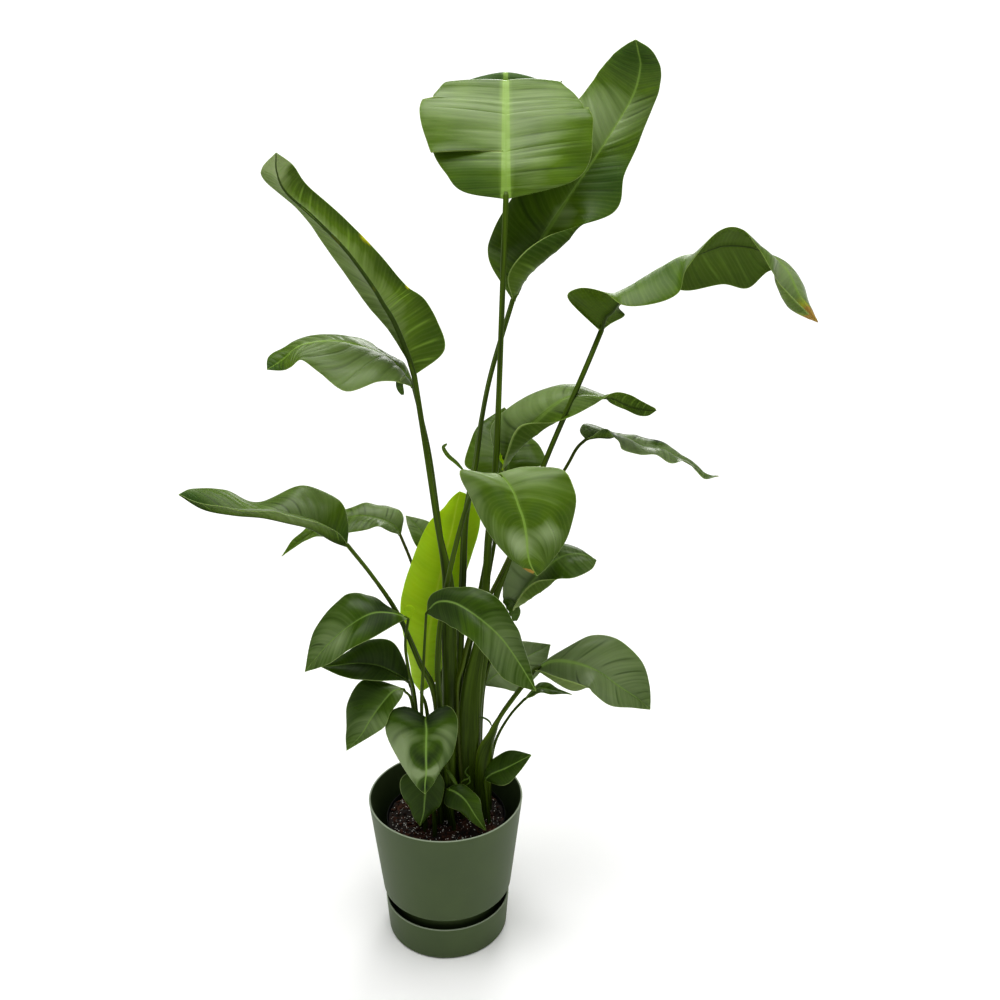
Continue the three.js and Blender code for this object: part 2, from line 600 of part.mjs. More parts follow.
// A closed ring of points round the blade at t: along the upper side from left to right and back below it.
// The midrib is a ridge on the underside that thins out towards the tip.
function bladeRing(leaf, curves, columns, t) {
  const rib = leaf.neckRadius * (1 - t) ** 0.8 + 0.5;
  const middle = curves.midrib.getPoint(t);
  const halfWidth = (side) => curves.edges[side].getPoint(t).distanceTo(middle);
  const ribPlace = (side) => Math.min(rib / halfWidth(side), columns[0] * 0.6);
  const left = [...columns].reverse().map((column) => -column);
  const across = [...left, -ribPlace(0), 0, ribPlace(1), ...columns];
  const upper = [];
  const lower = [];
  for (const [i, s] of across.entries()) {
    const fromMiddle = Math.abs(i - columns.length - 1);
    const depth = fromMiddle === 0 ? 1.3 * rib : fromMiddle === 1 ? 0.8 * rib : 0;
    const normal = bladeNormal(curves, t, s);
    const point = bladePoint(curves, t, s).addScaledVector(normal, ripple(leaf, t, s));
    upper.push(point.clone().addScaledVector(normal, BLADE_THICKNESS / 2));
    lower.push(point.addScaledVector(normal, -Math.max(BLADE_THICKNESS / 2, depth)));
  }
  return [...upper, ...lower.reverse()];
}

// A ring of the stalk, with as many points as a ring of the blade.
function stalkRing(centre, along, sideways, radius, count) {
  const right = sideways.clone().addScaledVector(along, -sideways.dot(along)).normalize();
  const up = right.clone().cross(along);
  const ring = [];
  for (let i = 0; i < count; i++) {
    const angle = Math.PI - ((i + 0.5) * 2 * Math.PI) / count;
    const point = centre.clone().addScaledVector(right, radius * Math.cos(angle));
    ring.push(point.addScaledVector(up, radius * Math.sin(angle)));
  }
  return ring;
}

// Joins rings of points into one closed skin. Both faces of the blade are split along the same diagonals,
// which lean from the midrib towards the tip as the veins do.
function skin(rings) {
  const count = rings[0].length;
  const half = count / 2;
  const positions = rings.flat().flatMap((point) => [point.x, point.y, point.z]);
  const triangles = [];
  for (let k = 0; k + 1 < rings.length; k++) {
    for (let i = 0; i < count; i++) {
      const j = (i + 1) % count;
      const [a, b, c, d] = [k * count + i, k * count + j, (k + 1) * count + j, (k + 1) * count + i];
      const column = i < half ? i : count - 2 - i;
      const onRight = column >= (half - 1) / 2;
      if (onRight === i < half) triangles.push(a, b, c, a, c, d);
      else triangles.push(a, b, d, b, c, d);
    }
  }
  const last = (rings.length - 1) * count;
  for (let i = 0; i + 1 < half; i++) {
    const [a, b, c, d] = [i, i + 1, count - 2 - i, count - 1 - i];
    triangles.push(a, c, b, a, d, c);
    triangles.push(last + a, last + b, last + c, last + a, last + c, last + d);
  }
  const geometry = new THREE.BufferGeometry();
  geometry.setAttribute('position', new THREE.Float32BufferAttribute(positions, 3));
  geometry.setIndex(triangles);
  return geometry;
}

// One leaf: its stalk, upright where it stands in the soil, and its blade, as one closed skin.
function makeLeaf(leaf) {
  const { columns, stations, stalkRings } = leaf.large ? LARGE_LEAF : SMALL_LEAF;
  const curves = bladeCurves(leaf);
  const count = 2 * (2 * columns.length + 3);
  const sideways = vector(leaf.rows[0][2]).sub(vector(leaf.rows[0][0]));
  const foot = new THREE.Vector3(...leaf.foot, STALK_FOOT_HEIGHT);
  const collar = new THREE.Vector3(...leaf.foot, STALK_COLLAR_HEIGHT);
  const route = smoothCurve([collar, ...leaf.stalk.map(vector), vector(leaf.base)]);
  const rings = [stalkRing(foot, new THREE.Vector3(0, 0, 1), sideways, leaf.footRadius, count)];
  for (let i = 0; i <= stalkRings; i++) {
    const t = i / stalkRings;
    const radius = THREE.MathUtils.lerp(leaf.footRadius, leaf.neckRadius, Math.min(1, 1.3 * t));
    const along = i === 0 ? new THREE.Vector3(0, 0, 1) : route.getTangent(t);
    rings.push(stalkRing(route.getPoint(t), along, sideways, radius, count));
  }
  for (let i = 0; i < stations; i++) {
    const t = THREE.MathUtils.lerp(BLADE_START, BLADE_END, i / (stations - 1));
    rings.push(bladeRing(leaf, curves, columns, t));
  }
  const material = leaf.name === 'leaf_new_lime' ? LEAF_LIME : LEAF_GREEN;
  addPiece(leaf.name, skin(rings), material);
}

makeSaucer();
const potFloor = makePot();
const growPotFloor = makeGrowPot(potFloor);
makeSoil(growPotFloor);
LEAVES.forEach(makeLeaf);

export default root;
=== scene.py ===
"""Potted bird of paradise (Strelitzia nicolai): a clump of long-stalked leaves in a pot on its saucer.

Sizes in the tables are millimetres, +Z up, from the centre of the saucer's underside. Blender works in
metres, so a piece is scaled by MM as it becomes a mesh. The plant stands still, so every piece rides on the
body "root".
"""

from __future__ import annotations

import logging
import math
from dataclasses import dataclass, field
from enum import Enum

import bpy
import numpy as np
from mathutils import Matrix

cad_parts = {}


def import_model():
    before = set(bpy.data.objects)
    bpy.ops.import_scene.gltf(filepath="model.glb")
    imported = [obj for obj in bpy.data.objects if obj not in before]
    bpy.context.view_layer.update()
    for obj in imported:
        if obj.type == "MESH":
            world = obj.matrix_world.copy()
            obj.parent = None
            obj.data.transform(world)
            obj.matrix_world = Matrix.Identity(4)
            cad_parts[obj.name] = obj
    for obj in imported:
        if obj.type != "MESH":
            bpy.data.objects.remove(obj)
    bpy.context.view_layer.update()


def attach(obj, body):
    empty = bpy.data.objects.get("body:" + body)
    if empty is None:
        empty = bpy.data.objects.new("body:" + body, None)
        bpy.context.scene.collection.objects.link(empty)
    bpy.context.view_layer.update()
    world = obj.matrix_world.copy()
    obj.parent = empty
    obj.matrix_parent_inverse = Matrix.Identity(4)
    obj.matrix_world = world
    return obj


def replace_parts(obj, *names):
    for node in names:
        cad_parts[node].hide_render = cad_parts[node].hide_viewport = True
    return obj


LOG = logging.getLogger("strelitzia")
MM = 0.001
BODY = "root"

Point = tuple[float, float, float]
Profile = list[tuple[float, float]]
Links = dict[str | int, object]


# ---------------------------------------------------------------- curves and surfaces


def smooth_curve(points: np.ndarray, place: np.ndarray) -> np.ndarray:
    """Follows a smooth curve through points.

    Catmull-Rom: between two points the curve is a cubic whose slope at each point is half the step from the
    point before it to the point after it.

    Args:
        points: The points it passes, one a row.
        place: Where to read it, from 0 at the first point to 1 at the last, of any shape.

    Returns:
        The curve's points, with one more axis than place.
    """
    count = len(points) - 1
    position = np.clip(place, 0.0, 1.0) * count
    index = np.clip(np.floor(position).astype(int), 0, count - 1)
    f = (position - index)[..., None]
    padded = np.vstack([2 * points[0] - points[1], points, 2 * points[-1] - points[-2]])
    p0, p1, p2, p3 = (padded[index + k] for k in range(4))
    bend = (2 * p0 - 5 * p1 + 4 * p2 - p3) * f**2 + (3 * p1 - p0 - 3 * p2 + p3) * f**3
    return 0.5 * (2 * p1 + (p2 - p0) * f + bend)


def smoothstep(low: float, high: float, value: np.ndarray) -> np.ndarray:
    """Rises from 0 at low to 1 at high as 3x^2 - 2x^3, with x the share of the way up."""
    x = np.clip((value - low) / (high - low), 0.0, 1.0)
    return x * x * (3 - 2 * x)


def unit(vectors: np.ndarray) -> np.ndarray:
    """Scales vectors along the last axis to length 1."""
    return vectors / np.maximum(np.linalg.norm(vectors, axis=-1, keepdims=True), 1e-9)


def lumps(x: np.ndarray, y: np.ndarray, size: float, seed: int) -> np.ndarray:
    """Gives a smooth random height, mostly from -1 to 1: the mean of eight waves in random directions.

    Args:
        x: First coordinate.
        y: Second coordinate.
        size: Length of a wave.
        seed: Picks the directions and phases.

    Returns:
        A height for each place.
    """
    rng = np.random.default_rng(seed)
    angle, phase = rng.uniform(0, 2 * math.pi, (2, 8))
    stretch = rng.uniform(0.6, 1.6, 8) * 2 * math.pi / size
    along = x[..., None] * np.cos(angle) + y[..., None] * np.sin(angle)
    return np.sin(along * stretch + phase).mean(-1) * 1.8


@dataclass
class Surface:
    """Part of a mesh.

    Attributes:
        points: Its corners, in millimetres, one a row.
        faces: Blocks of faces, each an array of corner numbers with one face a row.
        uv: Texture place of each corner, in metres.
        marks: What each corner carries for the material, by the attribute's name.
        material: The slot number of every face, or one for each.
    """

    points: np.ndarray
    faces: list[np.ndarray]
    uv: np.ndarray
    marks: dict[str, np.ndarray] = field(default_factory=dict)
    material: int | np.ndarray = 0


def ring_skin(
    rings: np.ndarray, uv: np.ndarray, marks: dict[str, np.ndarray], side_material: np.ndarray
) -> Surface:
    """Joins closed rings of points into one closed skin.

    Each ring is joined to the next by a quad for each of its sides, and the first and last ring are closed by
    a strip from one side of the ring to the other.

    Args:
        rings: Corners, of shape (rings, points of a ring, 3), running right-handed seen from the start.
        uv: Texture place of each corner, (rings, points, 2).
        marks: Values of each corner, (rings, points).
        side_material: The material slot of each side of the ring, (points).

    Returns:
        The skin, facing outwards.
    """
    rows, count = rings.shape[:2]
    index = np.arange(rows * count).reshape(rows, count)
    after = np.roll(index, -1, axis=1)
    sides = np.stack([index[:-1], after[:-1], after[1:], index[1:]], -1).reshape(-1, 4)
    j = np.arange(count // 2 - 1)
    ends = []
    for row, flip in ((0, False), (rows - 1, True)):
        strip = np.stack([index[row][j], index[row][-1 - j], index[row][-2 - j], index[row][j + 1]], -1)
        ends.append(strip[:, ::-1] if flip else strip)
    flat_marks = {name: value.reshape(-1) for name, value in marks.items()}
    material = np.concatenate([np.tile(side_material, rows - 1), np.tile(side_material[j], 2)])
    return Surface(rings.reshape(-1, 3), [sides, *ends], uv.reshape(-1, 2), flat_marks, material)


def both_faces(upper: np.ndarray, lower: np.ndarray) -> np.ndarray:
    """Joins the grids of two faces into rings: out across the upper one and back across the lower."""
    return np.concatenate([upper, lower[:, ::-1]], 1)


def spin(profile: Profile, segments: int = 144) -> Surface:
    """Spins a profile round the Z axis.

    A corner stands at radius times the cosine and sine of its angle, and at the profile's height. The profile
    starts and ends on the axis, where the skin closes in a fan.

    Args:
        profile: Radius and height of each point, from the axis at the bottom, up the outside and back inside.
        segments: Number of steps round.

    Returns:
        The closed skin.
    """
    inner = np.array(profile[1:-1], float)
    angle = np.linspace(0, 2 * math.pi, segments, endpoint=False)
    radius, height = inner[:, :1], inner[:, 1:]
    ring = np.stack([radius * np.cos(angle), radius * np.sin(angle), height + 0 * angle], -1)
    index = np.arange(ring.shape[0] * segments).reshape(-1, segments)
    after = np.roll(index, -1, axis=1)
    sides = np.stack([index[:-1], after[:-1], after[1:], index[1:]], -1).reshape(-1, 4)
    low, high = index.size, index.size + 1
    foot = np.stack([np.full(segments, low), after[0], index[0]], -1)
    top = np.stack([np.full(segments, high), index[-1], after[-1]], -1)
    poles = np.array([[0, 0, profile[0][1]], [0, 0, profile[-1][1]]], float)
    points = np.vstack([ring.reshape(-1, 3), poles])
    return Surface(points, [sides, foot, top], points[:, :2] * MM)


def arc(radius: float, height: float, size: float, start: float, end: float, steps: int) -> Profile:
    """Gives the points of a profile's round edge, evenly spaced on a circle.

    Args:
        radius: Radius at which the circle's centre stands.
        height: Height of its centre.
        size: The circle's own radius.
        start: Angle of the first point, in degrees: 0 points outwards and 90 up.
        end: Angle of the last point.
        steps: Number of steps between them.

    Returns:
        Radius and height of each point.
    """
    angles = [math.radians(start + (end - start) * i / steps) for i in range(steps + 1)]
    return [(radius + size * math.cos(a), height + size * math.sin(a)) for a in angles]


def supported(profile: Profile, inset: float = 1.0) -> Profile:
    """Adds points close to the ends of a profile's long steps, so that smooth shading stays true on flats.

    Args:
        profile: Radius and height of each point.
        inset: How far from an end a new point stands. Steps of under four times this stay as they are.

    Returns:
        The profile with its new points.
    """
    result = [profile[0]]
    for (r0, z0), (r1, z1) in zip(profile[:-1], profile[1:]):
        length = math.hypot(r1 - r0, z1 - z0)
        if length > 4 * inset:
            for part in (inset / length, 1 - inset / length):
                result.append((r0 + (r1 - r0) * part, z0 + (z1 - z0) * part))
        result.append((r1, z1))
    return result


def make_piece(
    name: str, surfaces: list[Surface], finishes: list[bpy.types.Material]
) -> bpy.types.Object:
    """Turns surfaces into one smooth-shaded mesh object that rides on the body.

    Args:
        name: The object's name.
        surfaces: The surfaces to join, in millimetres.
        finishes: A material for each slot number that the surfaces use.

    Returns:
        The object, at the origin, with its place in its mesh.
    """
    starts = np.cumsum([0] + [len(s.points) for s in surfaces[:-1]])
    points = np.vstack([s.points for s in surfaces]) * MM
    faces: list[list[int]] = []
    materials: list[int] = []
    for start, surface in zip(starts, surfaces):
        for block in surface.faces:
            faces += (block + start).tolist()
        materials += np.broadcast_to(surface.material, sum(map(len, surface.faces))).tolist()
    mesh = bpy.data.meshes.new(name)
    mesh.from_pydata(points.tolist(), [], faces)
    corner = np.zeros(len(mesh.loops), np.int32)
    mesh.loops.foreach_get("vertex_index", corner)
    uv = np.vstack([s.uv for s in surfaces])
    mesh.uv_layers.new(name="UVMap").data.foreach_set("uv", uv[corner].astype(np.float32).ravel())
    for mark in sorted({key for s in surfaces for key in s.marks}):
        values = [s.marks.get(mark, np.zeros(len(s.points))) for s in surfaces]
        attribute = mesh.attributes.new(mark, "FLOAT", "POINT")
        attribute.data.foreach_set("value", np.concatenate(values).astype(np.float32))
    mesh.polygons.foreach_set("material_index", np.array(materials, np.int32))
    mesh.polygons.foreach_set("use_smooth", np.ones(len(mesh.polygons), bool))
    for finish in finishes:
        mesh.materials.append(finish)
    mesh.update()
    piece = bpy.data.objects.new(name, mesh)
    bpy.context.scene.collection.objects.link(piece)
    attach(piece, BODY)
    LOG.info("%s: %d faces", name, len(faces))
    return piece


# ---------------------------------------------------------------- finishes


def linear(colour: str) -> tuple[float, float, float, float]:
    """Turns a colour into the values that a shader takes.

    Args:
        colour: The colour as sRGB, a hash and six hex digits.

    Returns:
        Its linear red, green and blue, and an alpha of 1.
    """
    values = [int(colour[i : i + 2], 16) / 255 for i in (1, 3, 5)]
    red, green, blue = (v / 12.92 if v <= 0.04045 else ((v + 0.055) / 1.055) ** 2.4 for v in values)
    return (red, green, blue, 1.0)


class NodeTree:
    """The node tree of a material or of the world, with one way to add a node and set and link it.

    Some inputs have a number, because their names repeat. A Mix takes its share at 0, then two numbers at 2
    and 3 or two colours at 6 and 7, and hands a colour back at output 2. A MapRange takes a value at 0 and
    turns the range from 1 to 2 into the range from 3 to 4, which is 0 to 1 unless it is given.
    """

    def __init__(self, owner: bpy.types.Material | bpy.types.World) -> None:
        """Empties the owner's tree.

        Args:
            owner: The material or world whose tree this is.
        """
        self.owner = owner
        owner.use_nodes = True
        owner.node_tree.nodes.clear()

    def add(self, kind: str, links: Links | None = None, out: str | int = 0, **settings: object) -> object:
        """Adds a node.

        Args:
            kind: The node's type, without the ShaderNode in front.
            links: What feeds each input, by the input's name or number: a socket, a number or a colour.
            out: The output to hand back.
            **settings: The node's own properties.

        Returns:
            The chosen output, or None for a node that has none.
        """
        node = self.owner.node_tree.nodes.new("ShaderNode" + kind)
        for key, value in settings.items():
            setattr(node, key, value)
        for key, value in (links or {}).items():
            if isinstance(value, bpy.types.NodeSocket):
                self.owner.node_tree.links.new(value, node.inputs[key])
            else:
                node.inputs[key].default_value = value
        return node.outputs[out] if node.outputs else None


@dataclass(frozen=True)
class LeafFinish:
    """One face of a living leaf.

    The upper face has a waxy cuticle: a broad pale sheen over a saturated green. In patches a pale
    grey-green is painted in as sheen, and in others a darker green as shade. The underside is duller and
    more yellow. Veins run side by side from the midrib to the margin, and the blade creases along some of
    them, where an older leaf's upper face has shade painted in. The mesh carries, for each corner: its
    distance along and across the leaf (UV, metres), the painted light (-1 painted shade to 1 painted sheen),
    and the share of rib, crease, margin, yellow and dry.
    """

    name: str
    deep: str  # the blade's darkest green
    bright: str  # and its brightest
    painted_sheen: str  # painted sheen, a pale grey-green
    rib: str  # the midrib's strip or keel
    # Along the creases: painted shade where darker, on an older leaf's upper face, and paler veins below.
    crease: str
    margin: str  # the margin and the fine veins
    painted_shade: str  # painted shade, a darker green
    roughness: float = 0.34
    ior: float = 1.31
    glow: float = 0.10  # how much light soaks in, more in a thin young blade
    veins: float = 0.05  # how far the fine veins stand out in colour

    # Spacing and sizes in mm, and the colours of a dead and of a yellowing patch.
    VEIN_SPACING = 4.6
    STREAK_WIDTH = 7.0
    STREAK_LENGTH = 110.0
    CLOUD = 50.0
    DRY = "#8f7434"
    YELLOW = "#b0ae0c"

    def make(self) -> bpy.types.Material:
        """Builds the material.

        Returns:
            The finish of one face.
        """
        tree = NodeTree(bpy.data.materials.new(self.name))
        add = tree.add
        place = add("UVMap", uv_map="UVMap")
        # Soft streaks some 7 mm wide run with the veins for some 110 mm: the blade looks grown, not painted.
        grain = (1000 / self.STREAK_WIDTH, 1000 / self.STREAK_LENGTH, 1.0)
        streaks = add("Mapping", {"Vector": place, "Scale": grain})
        streak = add("TexNoise", {"Vector": streaks, "Scale": 1.0, "Detail": 3.0})
        # Clouds some 50 mm wide keep a large leaf from one flat tone.
        cloud = add("TexNoise", {"Vector": place, "Scale": 1000 / self.CLOUD, "Detail": 2.0})
        # Fine parallel veins every 4.6 mm catch the light as thin paler lines. A wave at scale 1 is pi / 10 m
        # long.
        waves = {"Vector": place, "Scale": math.pi / 10 * 1000 / self.VEIN_SPACING}
        vein = add("TexWave", waves | {"Distortion": 2.0, "Detail Scale": 0.6}, out="Fac")
        # The mark of painted light, -1 painted shade to 1 painted sheen, with edges made streaky.
        wax = add("Attribute", out="Fac", attribute_name="wax")
        uneven = add("MapRange", {0: streak, 1: 0.3, 2: 0.7, 3: -0.16, 4: 0.16})
        wax = add("Math", {0: wax, 1: uneven}, operation="ADD")
        # Greens between the deep and the bright one, then painted shade below 0 and painted sheen above.
        tone = add("MapRange", {0: add("Mix", {0: 0.6, 2: streak, 3: cloud}), 1: 0.28, 2: 0.72})
        colour = add("Mix", {0: tone, 6: linear(self.deep), 7: linear(self.bright)}, out=2, data_type="RGBA")
        painted_shade = add("MapRange", {0: wax, 1: -1.7, 2: -0.1, 3: 1.0, 4: 0.0})
        colour = add("Mix", {0: painted_shade, 6: colour, 7: linear(self.painted_shade)}, out=2, data_type="RGBA")
        painted_sheen_share = add("MapRange", {0: wax, 1: 0.05, 2: 1.2, 3: 0.0, 4: 0.85})
        colour = add("Mix", {0: painted_sheen_share, 6: colour, 7: linear(self.painted_sheen)}, out=2, data_type="RGBA")
        fine = add("MapRange", {0: vein, 1: 0.55, 2: 1.0, 3: 0.0, 4: self.veins})
        colour = add("Mix", {0: fine, 6: colour, 7: linear(self.margin)}, out=2, data_type="RGBA")
        # The creases carry painted shade on an older leaf's upper face; then yellowing, midrib and margin.
        tints = {"crease": self.crease, "yellow": self.YELLOW, "rib": self.rib, "margin": self.margin}
        for share, tint in tints.items():
            mark = add("Attribute", out="Fac", attribute_name=share)
            colour = add("Mix", {0: mark, 6: colour, 7: linear(tint)}, out=2, data_type="RGBA")
        # A dry patch has a ragged border, because the streaks shift where it starts.
        dry = add("Attribute", out="Fac", attribute_name="dry")
        ragged = add("Math", {0: dry, 1: uneven}, operation="ADD")
        dried = add("MapRange", {0: ragged, 1: 0.45, 2: 0.65})
        colour = add("Mix", {0: dried, 6: colour, 7: linear(self.DRY)}, out=2, data_type="RGBA")
        # Painted shade comes with rougher skin, and the clouds vary the roughness by a tenth from end to end.
        spread = {3: self.roughness - 0.05, 4: self.roughness + 0.05}
        gloss = add("MapRange", {0: cloud, 1: 0.2, 2: 0.8} | spread)
        painted_light_term = add("MapRange", {0: wax, 1: -1.2, 2: -0.2, 3: 0.25, 4: 0.0})
        gloss = add("Math", {0: gloss, 1: painted_light_term}, operation="ADD")
        height = add("Mix", {0: 0.85, 2: vein, 3: streak})
        bump = add("Bump", {"Strength": 0.3, "Distance": 0.0004, "Height": height})
        look = {"Base Color": colour, "Roughness": gloss, "Normal": bump, "IOR": self.ior}
        # Light soaks 1.5 mm into the blade, green the farthest.
        look |= {"Subsurface Weight": self.glow, "Subsurface Scale": 0.0015}
        look["Subsurface Radius"] = (0.5, 1.0, 0.15)
        add("OutputMaterial", {"Surface": add("BsdfPrincipled", look)})
        return tree.owner


@dataclass(frozen=True)
class StalkFinish:
    """Waxy green stalk: smooth along its length with faint ribs, paler at the thin edges of its sheath."""

    name: str = "strelitzia stalk, waxy"
    deep: str = "#243204"
    bright: str = "#4a600c"
    edge: str = "#7c8c3a"  # the sheath's thin edges
    dry: str = "#5c4a26"  # a dead stalk

    def make(self) -> bpy.types.Material:
        """Builds the material.

        Returns:
            The finish of every stalk.
        """
        tree = NodeTree(bpy.data.materials.new(self.name))
        add = tree.add
        place = add("UVMap", uv_map="UVMap")
        # Fibres about a millimetre apart run up the stalk for some 80 mm, so it shines in long thin lines.
        fibres = add("Mapping", {"Vector": place, "Scale": (12.0, 900.0, 1.0)})
        ribs = add("TexNoise", {"Vector": fibres, "Scale": 1.0, "Detail": 3.0})
        # Bands some 8 mm wide and 150 mm long are older and younger skin.
        skin = add("Mapping", {"Vector": place, "Scale": (7.0, 130.0, 1.0)})
        bands = add("TexNoise", {"Vector": skin, "Scale": 1.0})
        tone = add("MapRange", {0: add("Mix", {0: 0.65, 2: ribs, 3: bands}), 1: 0.36, 2: 0.64})
        colour = add("Mix", {0: tone, 6: linear(self.deep), 7: linear(self.bright)}, out=2, data_type="RGBA")
        for share, tint in (("edge_line", self.edge), ("dry", self.dry)):
            mark = add("Attribute", out="Fac", attribute_name=share)
            colour = add("Mix", {0: mark, 6: colour, 7: linear(tint)}, out=2, data_type="RGBA")
        bump = add("Bump", {"Strength": 0.2, "Distance": 0.0003, "Height": ribs})
        look = {"Base Color": colour, "Roughness": 0.4, "Normal": bump, "IOR": 1.22}
        add("OutputMaterial", {"Surface": add("BsdfPrincipled", look)})
        return tree.owner


@dataclass(frozen=True)
class MouldedPlastic:
    """Injection-moulded polypropylene: even colour with the faint grain of the mould and a satin face."""

    name: str
    colour: str  # where it is clean
    dusty: str  # where it is a little dusty
    lip: str  # painted highlight along the lip
    roughness: float = 0.5
    ior: float = 1.38  # a little low, because the fine grain dulls the sheen

    GRAIN = 0.9

    def make(self) -> bpy.types.Material:
        """Builds the material.

        Returns:
            The finish of one pot.
        """
        tree = NodeTree(bpy.data.materials.new(self.name))
        add = tree.add
        place = add("TexCoord", out="Object")
        # A mould grain of 0.9 mm breaks the highlight up softly, and clouds of 70 mm are handling marks.
        grain = add("TexNoise", {"Vector": place, "Scale": 1000 / self.GRAIN, "Detail": 2.0})
        cloud = add("TexNoise", {"Vector": place, "Scale": 14.0, "Detail": 3.0})
        tone = add("MapRange", {0: cloud, 1: 0.3, 2: 0.75})
        colour = add("Mix", {0: tone, 6: linear(self.colour), 7: linear(self.dusty)}, out=2, data_type="RGBA")
        # A highlight is painted along the rounded lip, a thin light line round the top.
        painted_light_term = add("Attribute", out="Fac", attribute_name="lip")
        colour = add("Mix", {0: painted_light_term, 6: colour, 7: linear(self.lip)}, out=2, data_type="RGBA")
        rough = add("MapRange", {0: cloud, 3: self.roughness - 0.06, 4: self.roughness + 0.06})
        bump = add("Bump", {"Strength": 0.12, "Distance": 0.0002, "Height": grain})
        look = {"Base Color": colour, "Roughness": rough, "Normal": bump, "IOR": self.ior}
        add("OutputMaterial", {"Surface": add("BsdfPrincipled", look)})
        return tree.owner


@dataclass(frozen=True)
class PottingMix:
    """Damp bark and peat with perlite: dull and dark, with redder bark and white grains.

    The mesh carries the kind of a crumb as grain: 0 peat, 0.5 bark, 1 perlite.
    """

    name: str = "potting mix, bark and peat"
    peat: str = "#0e0906"
    earth: str = "#26170d"
    bark: str = "#5a3018"
    perlite: str = "#e6e6de"

    def make(self) -> bpy.types.Material:
        """Builds the material.

        Returns:
            The finish of the soil and its crumbs.
        """
        tree = NodeTree(bpy.data.materials.new(self.name))
        add = tree.add
        place = add("TexCoord", out="Object")
        # Crumbs of 4 mm in relief and tone, and redder drifts of bark some 25 mm across.
        crumb = add("TexNoise", {"Vector": place, "Scale": 260.0, "Detail": 6.0, "Roughness": 0.75})
        patch = add("TexNoise", {"Vector": place, "Scale": 38.0, "Detail": 3.0})
        tone = add("MapRange", {0: crumb, 1: 0.35, 2: 0.65})
        colour = add("Mix", {0: tone, 6: linear(self.peat), 7: linear(self.earth)}, out=2, data_type="RGBA")
        drift = add("MapRange", {0: patch, 1: 0.50, 2: 0.66, 3: 0.0, 4: 0.8})
        colour = add("Mix", {0: drift, 6: colour, 7: linear(self.bark)}, out=2, data_type="RGBA")
        kind = add("Attribute", out="Fac", attribute_name="grain")
        chip = add("Mix", {0: crumb, 6: linear(self.earth), 7: linear(self.bark)}, out=2, data_type="RGBA")
        is_bark = add("MapRange", {0: kind, 1: 0.2, 2: 0.4})
        colour = add("Mix", {0: is_bark, 6: colour, 7: chip}, out=2, data_type="RGBA")
        is_perlite = add("MapRange", {0: kind, 1: 0.7, 2: 0.9})
        colour = add("Mix", {0: is_perlite, 6: colour, 7: linear(self.perlite)}, out=2, data_type="RGBA")
        bump = add("Bump", {"Strength": 0.9, "Distance": 0.002, "Height": crumb})
        look = {"Base Color": colour, "Roughness": 0.9, "Normal": bump}
        add("OutputMaterial", {"Surface": add("BsdfPrincipled", look)})
        return tree.owner


@dataclass(frozen=True)
class PaperFloor:
    """Matt white paper under the plant."""

    name: str = "paper sweep"
    colour: str = "#fbfbfa"

    def make(self) -> bpy.types.Material:
        """Builds the material.

        Returns:
            The finish of the floor.
        """
        tree = NodeTree(bpy.data.materials.new(self.name))
        look = {"Base Color": linear(self.colour), "Roughness": 0.95}
        tree.add("OutputMaterial", {"Surface": tree.add("BsdfPrincipled", look)})
        return tree.owner


# ---------------------------------------------------------------- leaves


class LeafAge(Enum):
    """How old a leaf is, which gives its finish."""

    TALL = "tall"
    LOW = "low"
    NEW = "new"


Finishes = dict[LeafAge, tuple[bpy.types.Material, bpy.types.Material]]


class PatchKind(Enum):
    """What a patch on a blade is, named for the mesh attribute that carries it, with its sign."""

    DRY = ("dry", 1)
    YELLOW = ("yellow", 1)
    # Painted sheen and painted shade share one attribute, with opposite signs.
    BLOOM = ("wax", 1)
    BARE = ("wax", -1)


# Short names, for the leaves' tables.
DRY, YELLOW, BLOOM, BARE = PatchKind


@dataclass(frozen=True)
class Patch:
    """A soft-edged patch on a blade.

    Attributes:
        kind: What it is.
        place: Place along the blade, 0 to 1.
        across: Place across, -1 at the left margin to 1 at the right.
        size: Radius, mm.
        strength: How strong it is at its centre.
        stretch: How much longer it is across the blade, with the veins, than along it.
    """

    kind: PatchKind
    place: float
    across: float
    size: float
    strength: float = 1.0
    stretch: float = 1.0


@dataclass(frozen=True)
class Tear:
    """A split along a vein from the margin inwards.

    Attributes:
        side: -1 on the left half, 1 on the right.
        place: Where it starts on the midrib, from 0 at the base to 1 at the tip.
        reach: How near the midrib it comes, 0 at the midrib and 1 at the margin.
        lift: How far its far lip stands above its near lip at the margin, mm.
        step: How much wider the half is just beyond it, as a share.
        overlap: How far its far lip reaches over its near lip at the margin, mm.
    """

    side: int
    place: float
    reach: float
    lift: float
    step: float = 0.0
    overlap: float = 0.0


